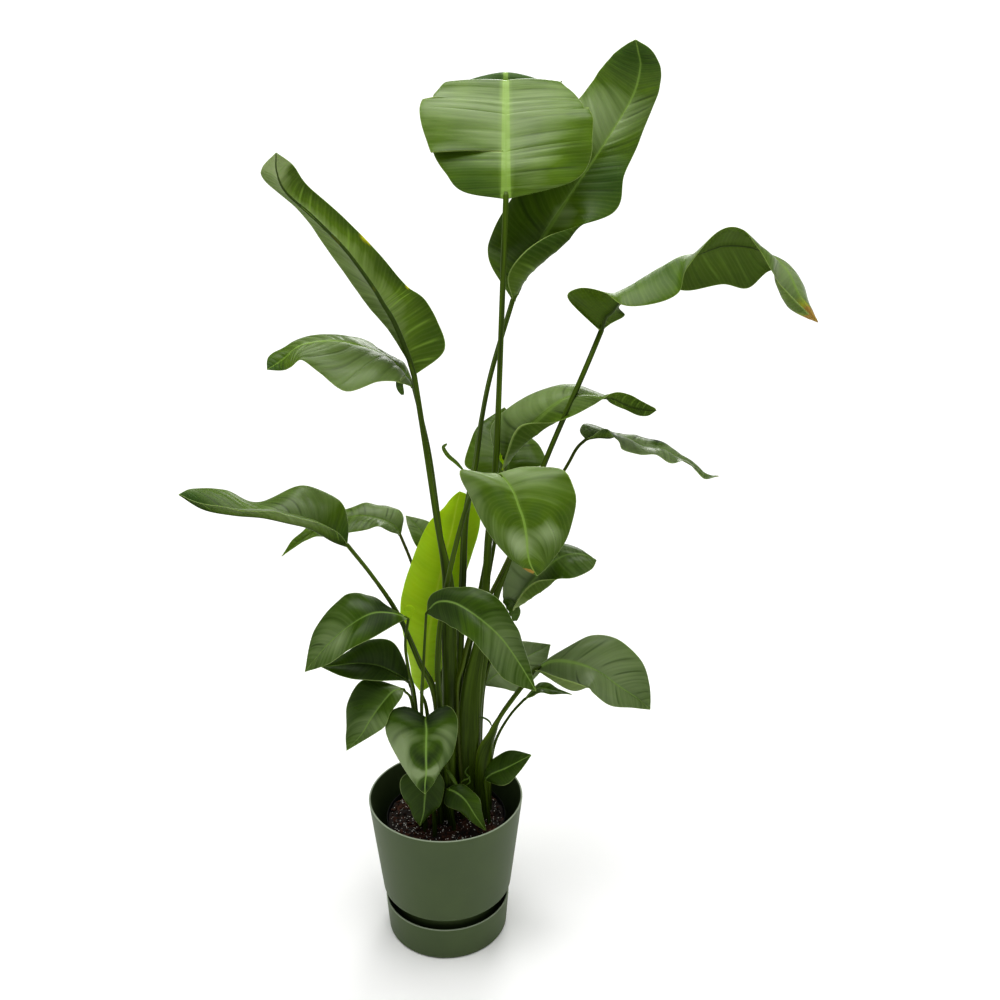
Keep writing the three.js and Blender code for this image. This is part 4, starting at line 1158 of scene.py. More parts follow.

# A leaf's patches paint sheen and shade, as well as dryness and yellowing.
LEAVES: tuple[LeafShape, ...] = (
    LeafShape(
        "leaf_top_centre",
        foot=(35, 2), foot_radius=8.5, neck_radius=4, ripple=1.2, strip=7.2, strip_tone=0.8, pleat=1.1,
        creases=(4, 12), crinkle=1.8, lean=0.1, bulge=0.03, wax=0.2, sheath=(17, 370, 560, 0),
        tears=(
            Tear(-1, 0.228, 0.06, 14, 0, 10), Tear(-1, 0.389, 0.93, 3, -0.14),
            Tear(1, 0.348, 0.97, -3, -0.05),
        ),
        patches=(
            Patch(BARE, 0.11, -0.6, 52, 1.4), Patch(BARE, 0.147, 0.8, 26, 0.7),
            Patch(BLOOM, 0.33, 0.5, 90, 0.3), Patch(BLOOM, 0.367, -0.5, 60, 0.3),
            Patch(BARE, 0.761, 0, 90, 2.6), Patch(BARE, 0.275, 0.9, 44, 0.5),
        ),
        stalk=(
            (40, 5, 405), (55, 10, 500), (65, 10, 585), (70, 10, 675), (80, 10, 775), (85, 15, 880),
            (90, 20, 1020),
        ),
        base=(95, 35, 1155), tip=(95, 330, 1255),
        rows=(
            ((35, 60, 1165), (95, 40, 1170), (180, 60, 1175)),
            ((10, 75, 1190), (95, 50, 1195), (210, 80, 1200)),
            ((-10, 100, 1220), (95, 70, 1225), (215, 95, 1235)),
            ((-25, 120, 1265), (95, 90, 1260), (215, 110, 1265)),
            ((-20, 140, 1290), (95, 110, 1290), (200, 130, 1290)),
            ((5, 145, 1310), (95, 125, 1310), (175, 140, 1310)),
            ((5, 160, 1305), (95, 140, 1310), (175, 155, 1310)),
            ((20, 170, 1300), (95, 160, 1300), (160, 170, 1300)),
            ((40, 180, 1315), (95, 170, 1325), (150, 180, 1315)),
            ((40, 235, 1305), (95, 230, 1315), (145, 235, 1305)),
            ((60, 285, 1285), (95, 285, 1295), (130, 285, 1285)),
        ),
    ),
    LeafShape(
        "leaf_top_right",
        foot=(16, 8), foot_radius=8.5, neck_radius=4, waves=4, strip=2.2, pleat=1.2, creases=(4, 7),
        crinkle=1.5,
        patches=(
            Patch(BARE, 0.86, -0.2, 70, 1.4), Patch(BARE, 0.36, 0.6, 60, 0.9), Patch(BARE, 0.46, 0.7, 40, 1),
            Patch(BARE, 0.2, -0.5, 60, 0.4), Patch(BLOOM, 0.6, -0.45, 45, 0.9),
            Patch(BLOOM, 0.6, 0.5, 42, 0.3), Patch(BLOOM, 0.28, 0.12, 20, 1.3), Patch(BARE, 0.2, 1, 26, 1.8),
        ),
        stalk=(
            (20, 15, 395), (25, 20, 500), (30, 30, 600), (35, 40, 695), (50, 50, 775), (60, 55, 845),
            (75, 65, 915),
        ),
        base=(105, 70, 1015), tip=(275, 135, 1365),
        rows=(
            ((70, 90, 1075), (125, 85, 1055), (100, 35, 1060), (130, 55, 1055)),
            ((85, 125, 1125), (150, 105, 1105), (150, 45, 1105), (185, 70, 1100)),
            ((145, 165, 1205), (190, 130, 1160), (250, 110, 1135)),
            ((170, 175, 1240), (215, 145, 1195), (265, 130, 1185)),
            ((190, 185, 1275), (235, 150, 1225), (285, 145, 1225)),
            ((220, 180, 1315), (275, 155, 1290), (310, 155, 1290)),
            ((240, 165, 1340), (285, 150, 1330), (315, 150, 1325)),
            ((255, 150, 1355), (280, 140, 1350), (300, 140, 1350)),
        ),
    ),
    LeafShape(
        "leaf_top_left",
        foot=(5, -12), foot_radius=8, neck_radius=4, ripple=0.6, waves=4, strip=2.5, pleat=0.6,
        creases=(4, 8), wax=0.35, lean=0.75, sheath=(11.5, 520, 700, 0),
        patches=(
            Patch(BARE, 0.09, -0.9, 46, 1.3), Patch(BARE, 0.24, -1, 34, 1.1), Patch(BARE, 0.37, -1, 24, 1.4),
            Patch(BARE, 0.49, -1, 20, 1.6), Patch(BARE, 0.63, -1, 20, 1.6), Patch(BARE, 0.75, -1, 22, 1.6),
            Patch(BARE, 0.87, -0.9, 14, 1.2), Patch(BLOOM, 0.98, 0, 34, 5), Patch(YELLOW, 0.592, -1, 6, 1.2),
            Patch(YELLOW, 0.437, -1, 5, 0.9),
        ),
        stalk=((10, -10, 415), (10, -10, 515), (10, -5, 600), (5, -5, 645), (-5, -10, 710), (-20, -10, 830),),
        base=(-32, -10, 922), tip=(-180, -122, 1214),
        rows=(
            ((8, 24, 950), (-42, -18, 960), (-50, 18, 950)),
            ((-0, 36, 988), (-56, -30, 1000), (-72, 24, 982)),
            ((-18, 28, 1022), (-68, -40, 1024), (-94, 18, 1012)),
            ((-42, 18, 1042), (-80, -50, 1048), (-114, 8, 1042)),
            ((-76, -16, 1090), (-110, -70, 1096), (-144, -28, 1100)),
            ((-120, -42, 1140), (-144, -90, 1136), (-168, -56, 1142)),
            ((-154, -72, 1176), (-174, -108, 1168), (-204, -80, 1180)),
            ((-166, -96, 1200), (-182, -116, 1192), (-204, -96, 1196)),
        ),
    ),
    LeafShape(
        "leaf_upper_left",
        foot=(-2, 14), foot_radius=6.5, neck_radius=3.5, ripple=1.2, strip=2.6, strip_tone=0.9, pleat=1.5,
        creases=(5, 9), crinkle=0.8, wax=0.05, lean=1.4,
        tears=(
            Tear(1, 0.22, 0.6, 5), Tear(-1, 0.07, 0.5, 5),
        ),
        patches=(
            Patch(BLOOM, 0.35, -0.5, 80, 0.45), Patch(BARE, 0.95, 0, 34, 1.8),
        ),
        stalk=((0, 15, 400), (5, 15, 505), (10, 15, 590), (0, 15, 670), (-15, 20, 800),),
        base=(-35, 15, 900), tip=(-230, -35, 935),
        rows=(
            ((-55, -20, 915), (-55, 10, 930), (-50, 40, 930)),
            ((-80, -45, 920), (-80, 10, 950), (-75, 50, 935)),
            ((-120, -60, 910), (-120, 0, 965), (-105, 45, 960)),
            ((-155, -55, 935), (-150, -10, 970), (-150, 35, 970)),
            ((-180, -45, 950), (-185, -20, 965), (-185, 15, 970)),
            ((-195, -45, 940), (-205, -25, 950), (-215, -10, 960)),
            ((-210, -40, 935), (-220, -30, 940), (-230, -20, 950)),
        ),
    ),
    LeafShape(
        "leaf_right_long",
        foot=(48, 19), foot_radius=8, neck_radius=4, ripple=1, waves=5, strip=1.6, strip_tone=0.5, pleat=0.8,
        patches=(
            Patch(BARE, 0.35, 0.4, 70, 0.9), Patch(BLOOM, 0.3, 0.9, 36, 0.5), Patch(BLOOM, 0.85, 0, 40, 0.8),
            Patch(DRY, 1, 0, 18, 1.6), Patch(YELLOW, 0.96, 0.2, 18, 0.7),
        ),
        stalk=(
            (50, 20, 355), (55, 20, 415), (65, 20, 485), (80, 10, 575), (100, 5, 640), (150, 0, 790),
            (205, 5, 925),
        ),
        base=(230, 40, 975), tip=(520, -15, 995),
        rows=(
            ((245, 50, 985), (235, 40, 995), (180, 5, 1025)),
            ((265, 60, 995), (245, 40, 1005), (195, -0, 1040)),
            ((260, 80, 1005), (255, 40, 1020), (230, -10, 1035)),
            ((280, 80, 1015), (280, 40, 1045), (255, -15, 1020)),
            ((305, 80, 1030), (310, 35, 1065), (290, -15, 1020)),
            ((335, 75, 1030), (335, 30, 1080), (325, -20, 1035)),
            ((360, 65, 1030), (360, 30, 1085), (335, -25, 1070)),
            ((400, 50, 1040), (390, 25, 1095), (375, -20, 1115)),
            ((435, 45, 1035), (420, 20, 1095), (405, -20, 1120)),
            ((460, 35, 1060), (440, 15, 1090), (425, -20, 1100)),
            ((490, 35, 1060), (460, 10, 1080), (445, -25, 1070)),
            ((510, 30, 1035), (480, 5, 1060), (460, -25, 1050), (460, -10, 1050)),
            ((515, 15, 1015), (495, -5, 1030), (485, -30, 1025), (480, -10, 1015)),
        ),
    ),
    LeafShape(
        "leaf_mid_right",
        foot=(30, 26), foot_radius=6.5, neck_radius=3.5, strip=1.6, strip_tone=0.5, pleat=1, creases=(5, 10),
        patches=(
            Patch(BLOOM, 0.33, -0.5, 60, 0.6), Patch(BARE, 0.8, 0, 44, 1), Patch(BARE, 0.2, 1, 36, 1.2),
        ),
        stalk=((35, 35, 390), (55, 40, 495), (65, 45, 575), (80, 45, 665),),
        base=(90, 30, 770), tip=(305, -20, 875),
        rows=(
            ((80, 40, 795), (105, 20, 810), (95, -0, 805), (115, 10, 810)),
            ((75, 45, 840), (125, 15, 840), (115, -10, 850), (140, 0, 835)),
            ((125, 45, 880), (155, 10, 870), (165, -10, 855), (175, 0, 860)),
            ((185, 35, 900), (190, 5, 890), (215, -15, 880)),
            ((230, 20, 890), (230, -5, 890), (230, -30, 895)),
            ((245, 0, 880), (245, -10, 890), (245, -25, 900)),
            ((265, -0, 870), (265, -10, 880), (265, -30, 900)),
            ((280, -5, 865), (285, -15, 875), (285, -30, 890)),
            ((295, -10, 865), (300, -20, 875), (300, -25, 880)),
        ),
    ),
    LeafShape(
        "leaf_mid_back",
        foot=(14, 46), foot_radius=6, neck_radius=3.5, ripple=2, strip_tone=0.3, creases=(5, 9),
        stalk=((22, 50, 382), (40, 56, 484), (56, 60, 566), (74, 64, 658),),
        base=(100, 66, 748), tip=(94, 150, 840),
        rows=(
            ((64, 66, 756), (100, 74, 766), (130, 64, 764)),
            ((34, 84, 766), (98, 90, 788), (158, 76, 772)),
            ((44, 108, 804), (96, 112, 810), (146, 104, 790)),
            ((66, 132, 826), (94, 136, 828), (118, 128, 812)),
        ),
    ),
    LeafShape(
        "leaf_front_large",
        foot=(10, -30), foot_radius=5, neck_radius=3, ripple=1, wax=0.1, strip=2.2, strip_tone=0.75,
        pleat=0.45, creases=(6, 14), crinkle=1.2, lean=1,
        tears=(
            Tear(-1, 0.43, 0.96, 1),
        ),
        patches=(
            Patch(BLOOM, 0.1, 0.6, 40, 0.35), Patch(BLOOM, 0.12, -0.6, 36, 0.15),
            Patch(BLOOM, 0.04, 0, 30, 0.25), Patch(BLOOM, 0.42, 0.95, 20, 0.3),
            Patch(BARE, 0.42, 0.35, 20, 0.9), Patch(BARE, 0.48, -0.25, 13, 0.9),
            Patch(BARE, 0.55, -0.7, 7, 0.8, 2.4), Patch(BLOOM, 0.68, 0.3, 13, 1.15, 1.5),
            Patch(BLOOM, 0.6, -0.5, 10, 0.95, 2.2), Patch(BARE, 0.94, 0, 15, 1.2),
            Patch(BARE, 0.8, -0.98, 10, 0.9), Patch(BARE, 0.8, 0.98, 8, 0.8), Patch(DRY, 0.92, 0.95, 7, 1.3),
        ),
        stalk=(
            (-5, -35, 430), (-5, -35, 515), (5, -40, 595), (25, -55, 690), (45, -65, 760), (65, -75, 790),
        ),
        base=(84, -82, 802), tip=(136, -164, 686),
        rows=(
            ((122, -84, 812), (96, -96, 794), (60, -82, 804)),
            ((168, -98, 814), (106, -112, 782), (34, -92, 810)),
            ((184, -110, 794), (112, -124, 768), (38, -102, 792)),
            ((188, -122, 770), (118, -134, 754), (50, -110, 770)),
            ((178, -140, 734), (122, -144, 734), (72, -130, 734)),
            ((158, -152, 706), (124, -152, 712), (98, -148, 706)),
            ((148, -158, 694), (128, -158, 698), (116, -156, 694)),
        ),
    ),
    LeafShape(
        "leaf_right_twisted",
        foot=(27, -14), foot_radius=4.5, neck_radius=2.5, ripple=3, waves=5, age=LeafAge.LOW, strip=1.2,
        strip_tone=0.35, pleat=0.8, creases=(4, 8), stalk_dry=0.1,
        patches=(
            Patch(BLOOM, 0.5, 0, 110, 0.8), Patch(BARE, 0.2, 0.7, 15, 2.6), Patch(BARE, 0.56, -0.9, 12, 2.4),
            Patch(DRY, 1, 0, 8, 0.6),
        ),
        stalk=(
            (20, -14, 418), (30, -14, 478), (42, -14, 526), (58, -14, 560), (72, -14, 592), (88, -14, 626),
            (104, -12, 660), (130, -8, 702), (180, 12, 778), (198, 22, 808),
        ),
        base=(212, 30, 820), tip=(404, 4, 772),
        rows=(
            ((204, 44, 830), (220, 30, 822), (220, 22, 828)),
            ((210, 54, 838), (232, 30, 824), (230, 10, 836)),
            ((230, 60, 830), (246, 28, 824), (242, 2, 842)),
            ((254, 60, 822), (256, 28, 826), (254, 0, 828)),
            ((276, 58, 818), (274, 28, 822), (260, -6, 814)),
            ((294, 54, 818), (292, 24, 812), (286, -8, 810)),
            ((312, 40, 820), (310, 22, 810), (304, -6, 806)),
            ((326, 42, 810), (324, 20, 808), (318, -8, 802)),
            ((346, 36, 802), (342, 16, 798), (334, -8, 796)),
            ((364, 30, 790), (358, 14, 790), (352, -2, 794)),
            ((378, 18, 778), (374, 12, 780), (372, 4, 780)),
            ((392, 14, 772), (388, 8, 770), (384, 2, 768)),
        ),
    ),
    LeafShape(
        "leaf_right_folded",
        foot=(52, 36), foot_radius=4.5, neck_radius=3, ripple=2, age=LeafAge.LOW, strip=1.5, strip_tone=0.4,
        pleat=0.8, creases=(5, 9), wax=0.3,
        patches=(
            Patch(BLOOM, 0.15, -0.6, 44, 1.6), Patch(BARE, 0.3, 1, 44, 1),
        ),
        stalk=((58, 38, 388), (74, 34, 470), (94, 28, 524),),
        base=(106, 24, 552), tip=(232, 16, 636),
        rows=(
            ((90, 36, 572), (120, 26, 580), (114, 2, 578), (128, 14, 570)),
            ((104, 46, 622), (148, 28, 614), (144, -2, 612), (158, 12, 594)),
            ((160, 48, 648), (180, 26, 638), (192, 4, 612)),
            ((204, 40, 648), (208, 22, 644), (222, 6, 624)),
        ),
    ),
    LeafShape(
        "leaf_far_left",
        foot=(-7, -24), foot_radius=6.5, neck_radius=3.5, waves=4, lean=1.3, strip=1.1, strip_tone=0.8,
        pleat=1, creases=(5, 10), sheath=(8, 400, 520, 0),
        patches=(
            Patch(BLOOM, 0.4, 0.3, 40, 0.5), Patch(BARE, 0.1, 0.7, 30, 1), Patch(BARE, 0.97, 0, 40, 2.6),
            Patch(BARE, 0.12, -0.8, 26, 1.2),
        ),
        stalk=((-10, -25, 415), (-35, -25, 490), (-65, -20, 565), (-100, -20, 625),),
        base=(-135, -20, 675), tip=(-360, -60, 765),
        rows=(
            ((-145, -55, 710), (-155, -25, 685), (-135, 0, 700)),
            ((-170, -80, 730), (-185, -30, 705), (-150, 10, 735)),
            ((-200, -90, 745), (-215, -35, 715), (-200, 10, 755)),
            ((-240, -90, 750), (-250, -40, 725), (-265, 0, 735)),
            ((-280, -80, 750), (-290, -45, 730), (-310, -10, 755)),
            ((-325, -70, 755), (-330, -50, 740), (-345, -30, 765)),
        ),
    ),
    LeafShape(
        "leaf_left_back",
        foot=(-4, 42), foot_radius=4.5, neck_radius=2.5, ripple=2, waves=4, strip=1.3, crinkle=2.2,
        creases=(4, 8), stalk_dry=0.2,
        patches=(
            Patch(BLOOM, 0.3, 0.4, 40, 0.7),
        ),
        stalk=((-6, 74, 368), (-14, 86, 452), (-36, 96, 536), (-54, 100, 600),),
        base=(-70, 102, 644), tip=(-254, 72, 620),
        rows=(
            ((-84, 82, 658), (-80, 104, 660), (-66, 120, 670)),
            ((-108, 72, 668), (-104, 104, 672), (-92, 128, 686)),
            ((-144, 70, 660), (-140, 102, 676), (-136, 126, 686)),
            ((-182, 68, 656), (-182, 94, 664), (-182, 112, 678)),
            ((-216, 70, 646), (-218, 84, 646), (-226, 94, 654)),
        ),
    ),
    LeafShape(
        "leaf_back_small",
        foot=(14, 64), foot_radius=4.5, neck_radius=2.5, ripple=1, waves=2, strip=1.3, creases=(4, 8),
        patches=(
            Patch(BLOOM, 0.8, 0, 40, 0.6),
        ),
        stalk=((8, 74, 368), (10, 92, 468),),
        base=(2, 104, 576), tip=(-64, 130, 668),
        rows=(
            ((-42, 100, 622), (-18, 112, 616), (2, 122, 620)),
            ((-58, 112, 652), (-40, 120, 646), (-22, 132, 654)),
        ),
    ),
    LeafShape(
        "leaf_new_lime",
        foot=(-20, 22), foot_radius=4.5, neck_radius=2.5, ripple=2, age=LeafAge.NEW, strip=1.6, pleat=0.4,
        patches=(
            Patch(BLOOM, 0.15, 0, 60, 1.2),
        ),
        stalk=((-30, 44, 356),),
        base=(-40, 52, 394), tip=(26, 64, 730),
        rows=(
            ((-54, 62, 412), (-34, 54, 418), (-14, 66, 408)),
            ((-60, 66, 444), (-30, 54, 450), (-4, 68, 442)),
            ((-68, 70, 500), (-24, 54, 504), (6, 70, 492)),
            ((-68, 74, 556), (-12, 56, 568), (28, 72, 568)),
            ((-50, 76, 618), (2, 56, 628), (42, 72, 622)),
            ((-26, 76, 668), (14, 60, 674), (56, 70, 678)),
            ((-2, 72, 698), (20, 62, 704), (50, 70, 706)),
            ((12, 68, 718), (24, 64, 720), (38, 68, 722)),
        ),
    ),
    LeafShape(
        "leaf_low_left_upper",
        foot=(-33, -17), foot_radius=4.5, neck_radius=2.5, wax=0.1, **LOW_LEAF,
        patches=(
            Patch(BARE, 0.25, 0.6, 26, 1.3), Patch(BARE, 0.36, -0.5, 26, 1.4),
            Patch(BLOOM, 0.68, -0.4, 18, 0.7), Patch(BLOOM, 0, 0, 20, 1.5), Patch(BLOOM, 0.8, 0.2, 24, 0.5),
        ),
        stalk=((-42, -26, 418), (-50, -30, 474), (-54, -32, 522),),
        base=(-48, -34, 564), tip=(-196, -84, 502),
        rows=(
            ((-64, -58, 566), (-72, -42, 576), (-72, -24, 576)),
            ((-94, -80, 556), (-100, -52, 580), (-108, -24, 596)),
            ((-128, -92, 542), (-130, -62, 566), (-144, -34, 600)),
            ((-160, -94, 520), (-160, -72, 542), (-182, -52, 558)),
        ),
    ),
    LeafShape(
        "leaf_low_left_middle",
        foot=(-40, -2), foot_radius=4, neck_radius=2.3, **LOW_LEAF,
        patches=(
            Patch(BARE, 0.4, 0, 60, 1.2),
        ),
        stalk=((-46, -10, 404),),
        base=(-52, -14, 448), tip=(-178, -50, 492),
        rows=(
            ((-68, -38, 464), (-70, -22, 466), (-56, -6, 474)),
            ((-94, -58, 474), (-96, -30, 484), (-78, -6, 512)),
            ((-124, -66, 480), (-126, -38, 492), (-114, -16, 520)),
            ((-150, -60, 484), (-154, -44, 492), (-154, -28, 500)),
        ),
    ),
    LeafShape(
        "leaf_low_left_lower",
        foot=(-38, -31), foot_radius=4, neck_radius=2.3, wax=0.1, **LOW_LEAF,
        patches=(
            Patch(BARE, 0.35, 0.7, 26, 1.2), Patch(BLOOM, 0.1, 0, 24, 1.1), Patch(BLOOM, 0.6, -0.3, 30, 0.6),
        ),
        stalk=((-44, -40, 412),),
        base=(-58, -42, 452), tip=(-142, -82, 370),
        rows=(
            ((-60, -54, 444), (-74, -48, 450), (-88, -36, 462)),
            ((-76, -66, 424), (-90, -56, 434), (-122, -38, 462)),
            ((-84, -76, 408), (-106, -66, 414), (-144, -50, 428)),
            ((-106, -82, 394), (-120, -74, 392), (-144, -64, 392)),
        ),
    ),
    LeafShape(
        "leaf_front_heart",
        foot=(-16, -37), foot_radius=4, neck_radius=2.5, wax=0.2,
        **LOW_LEAF | {"strip": 1.6, "strip_tone": 0.8},
        patches=(
            Patch(BARE, 0.12, 0.7, 28, 2.2), Patch(BARE, 0.12, -0.7, 28, 2.2), Patch(BARE, 0.06, 0, 22, 2.2),
            Patch(BLOOM, 0.42, 0.6, 22, 1.2), Patch(BLOOM, 0.4, -0.55, 20, 1.1),
            Patch(BLOOM, 0.62, 0.95, 16, 1.4), Patch(BARE, 0.53, -0.35, 9, 1.8),
            Patch(BARE, 0.55, 0.3, 9, 1.8), Patch(BARE, 0.6, 0, 10, 2), Patch(BLOOM, 0.71, 0.4, 6, 1.6, 2),
            Patch(BLOOM, 0.7, -0.45, 6, 1.6, 2), Patch(BARE, 0.88, 0, 12, 1.9),
        ),
        stalk=((-24, -42, 356),),
        base=(-24, -60, 414), tip=(-24, -112, 316),
        rows=(
            ((6, -54, 430), (-24, -70, 412), (-54, -54, 430)),
            ((22, -62, 422), (-22, -80, 404), (-80, -62, 422)),
            ((24, -72, 402), (-22, -92, 390), (-82, -76, 398)),
            ((16, -88, 372), (-22, -100, 370), (-68, -90, 366)),
            ((0, -98, 346), (-22, -104, 348), (-50, -100, 340)),
            ((-12, -106, 328), (-24, -108, 330), (-36, -108, 326)),
        ),
    ),
    LeafShape(
        "leaf_front_arching",
        foot=(-31, -43), foot_radius=4, neck_radius=2.3, wax=0.05,
        **LOW_LEAF | {"pleat": 0.3, "crinkle": 1.8},
        patches=(
            Patch(BARE, 0.3, 0.3, 34, 1.2), Patch(BARE, 0.12, 0, 30, 1), Patch(BLOOM, 0.7, 0, 34, 0.5),
        ),
        stalk=((-32, -44, 406), (-26, -50, 504),),
        base=(-20, -56, 582), tip=(138, -134, 498),
        rows=(
            ((-10, -56, 614), (-2, -64, 604), (-4, -72, 580)),
            ((32, -62, 628), (24, -78, 608), (22, -90, 576)),
            ((78, -78, 620), (56, -94, 594), (46, -110, 568)),
            ((110, -96, 580), (88, -110, 570), (68, -124, 546)),
            ((126, -112, 542), (114, -122, 536), (94, -132, 516)),
        ),
    ),
    LeafShape(
        "leaf_front_drooping",
        foot=(-15, -55), foot_radius=3.5, neck_radius=2.2, **LOW_LEAF,
        patches=(
            Patch(BARE, 0.4, 0, 60, 1),
        ),
        base=(-20, -52, 328), tip=(-36, -82, 238),
        rows=(
            ((2, -52, 296), (-24, -60, 306), (-64, -52, 306)),
            ((-4, -64, 270), (-28, -70, 280), (-60, -64, 274)),
            ((-18, -74, 254), (-30, -76, 258), (-48, -74, 254)),
        ),
    ),
    LeafShape(
        "leaf_front_lowest",
        foot=(14, -42), foot_radius=3.5, neck_radius=2.2, **LOW_LEAF,
        patches=(
            Patch(BARE, 0.3, 0.4, 26, 1),
        ),
        base=(4, -46, 280), tip=(66, -76, 224),
        rows=(
            ((30, -42, 286), (20, -54, 278), (0, -58, 262)),
            ((52, -52, 270), (34, -60, 268), (22, -68, 256)),
            ((60, -62, 250), (48, -68, 248), (40, -74, 242)),
        ),
    ),
    LeafShape(
        "leaf_low_right_small",
        foot=(69, -24), foot_radius=3.5, neck_radius=2.2, **LOW_LEAF,
        patches=(
            Patch(BARE, 0.4, 0, 60, 0.9),
        ),
        base=(62, -20, 278), tip=(136, -30, 330),
        rows=(
            ((66, -10, 302), (76, -26, 294), (78, -38, 282)),
            ((92, -8, 320), (96, -30, 306), (98, -46, 288)),
            ((116, -14, 328), (114, -32, 318), (114, -44, 304)),
        ),
    ),
    LeafShape(
        "leaf_low_right_large",
        foot=(59, -5), foot_radius=8, neck_radius=4.6, wax=0.3, **LOW_LEAF, sheath=(15, 290, 400, 80),
        patches=(
            Patch(BLOOM, 0.5, 0, 70, 0.5),
        ),
        stalk=((60, -10, 285), (65, -5, 325), (75, 0, 350), (90, 10, 380),),
        base=(142, 32, 446), tip=(324, 14, 384),
        rows=(
            ((182, 50, 468), (170, 34, 460), (168, 4, 452), (164, 18, 440)),
            ((228, 58, 492), (204, 34, 458), (214, -6, 438), (198, 8, 424)),
            ((270, 54, 488), (240, 30, 444), (230, 6, 420)),
            ((310, 42, 456), (272, 24, 422), (258, 6, 396)),
            ((324, 28, 420), (302, 20, 402), (294, 6, 392)),
        ),
    ),
    LeafShape(
        "leaf_low_back_dark",
        foot=(40, 42), foot_radius=5, neck_radius=3, wax=0.1, **LOW_LEAF,
        patches=(
            Patch(BLOOM, 0.5, 0, 60, 1.3),
        ),
        stalk=((46, 60, 348),),
        base=(60, 74, 394), tip=(170, 98, 456),
        rows=(
            ((68, 92, 420), (78, 80, 408), (88, 62, 396)),
            ((86, 100, 442), (106, 86, 426), (120, 66, 390)),
            ((116, 104, 460), (136, 92, 440), (156, 76, 422)),
        ),
    ),
    LeafShape(
        "leaf_low_right_narrow",
        foot=(70, 14), foot_radius=4, neck_radius=2.3, wax=0.1, **LOW_LEAF,
        stalk=((70, 15, 265), (75, 20, 305), (85, 25, 335), (105, 35, 365),),
        base=(126, 50, 382), tip=(204, 58, 386),
        rows=(
            ((150, 66, 404), (148, 56, 398), (148, 42, 396)),
            ((176, 68, 396), (172, 58, 394), (170, 46, 394)),
        ),
    ),
)


SHREDS: tuple[Shred, ...] = (
    Shred(
        "bract_new",
        ((3, -38, 310), (10, -42, 304), (16, -44, 294), (20, -44, 287),),
        2.8, curl=0.8, age=LeafAge.TALL,
    ),
    Shred(
        "sheath_curl_dry",
        ((39, -34, 313), (33, -38, 305), (39, -40, 297), (40, -40, 288), (34, -41, 283),),
        1.3, curl=0.9, dry=0.3,
    ),
    Shred(
        "sheath_curl_front",
        ((25, -40, 286), (31, -42, 293), (37, -43, 296), (41, -43, 301),),
        1.1, curl=0.6, dry=0.4,
    ),
    Shred(
        "stalk_curl_dark",
        ((53, 0, 379), (62, -2, 379), (70, -2, 373), (74, -1, 364),),
        1.5, curl=0.8,
    ),
    Shred(
        "torn_curl_left",
        (
            (-62, -18, 559), (-50, -22, 559), (-39, -24, 570), (-45, -26, 581), (-53, -26, 579),
            (-54, -24, 572), (-47, -22, 569),
        ),
        0.9, curl=0.4, age=LeafAge.NEW,
    ),
    Shred(
        "torn_flap_right",
        ((92, 30, 565), (102, 24, 561), (110, 22, 551), (110, 24, 533),),
        9, curl=0.2, facing=(0.2, -1.0, -0.3),
    ),
    Shred(
        "torn_flap_upper_left",
        ((-48, 8, 921), (-53, 2, 908), (-50, 4, 892),),
        5.5, curl=0.5, facing=(-0.3, -1.0, 0.2),
    ),
    Shred(
        "torn_flap_upper_left_small",
        ((-54, 12, 931), (-62, 8, 921), (-59, 8, 912),),
        4.5, curl=0.6, facing=(-0.3, -1.0, 0.2),
    ),
    Shred(
        "torn_strip_front",
        ((38, -90, 808), (28, -90, 819), (17, -90, 829), (11, -90, 840), (16, -90, 846),),
        3, curl=0.6, facing=(0.4, -1.0, 0.6), age=LeafAge.TALL,
    ),
    Shred(
        "torn_strip_middle",
        ((91, 30, 804), (88, 26, 793), (93, 24, 784), (90, 24, 775),),
        2.2, curl=0.6, age=LeafAge.NEW,
    ),
)


# ---------------------------------------------------------------- pot, saucer and soil


def mark_lip_highlight(skin: Surface, top: float) -> Surface:
    """Marks a lip's uppermost stretch for a painted highlight, fully in its last 0.4 mm.

    Args:
        skin: A pot's skin.
        top: Height of its lip.

    Returns:
        The same skin, with the attribute lip.
    """
    skin.marks["lip"] = smoothstep(top - 1.6, top - 0.4, skin.points[:, 2])
    return skin


@dataclass(frozen=True)
class Saucer:
    """The saucer: a flat floor and a nearly upright wall with a rounded lip, sizes in mm."""

    base_radius: float = 97.5
    rim_radius: float = 101.3
    height: float = 58.8
    wall: float = 3.0
    floor: float = 4.0
    round: float = 4.0  # radius of the lower edge

    def make(self, finish: bpy.types.Material) -> bpy.types.Object:
        """Builds the saucer, which stands for its CAD node.

        Args:
            finish: Its plastic.

        Returns:
            The object.
        """
        lip = self.wall / 2
        profile = [
            (0, 0),
            *arc(self.base_radius - self.round, self.round, self.round, -90, 0, 6),
            *arc(self.rim_radius - lip, self.height - lip, lip, 0, 180, 8),
            (self.base_radius - self.wall, self.floor),
            (0, self.floor),
        ]
        skin = mark_lip_highlight(spin(supported(profile)), self.height)
        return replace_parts(make_piece("fine_saucer", [skin], [finish]), "saucer")


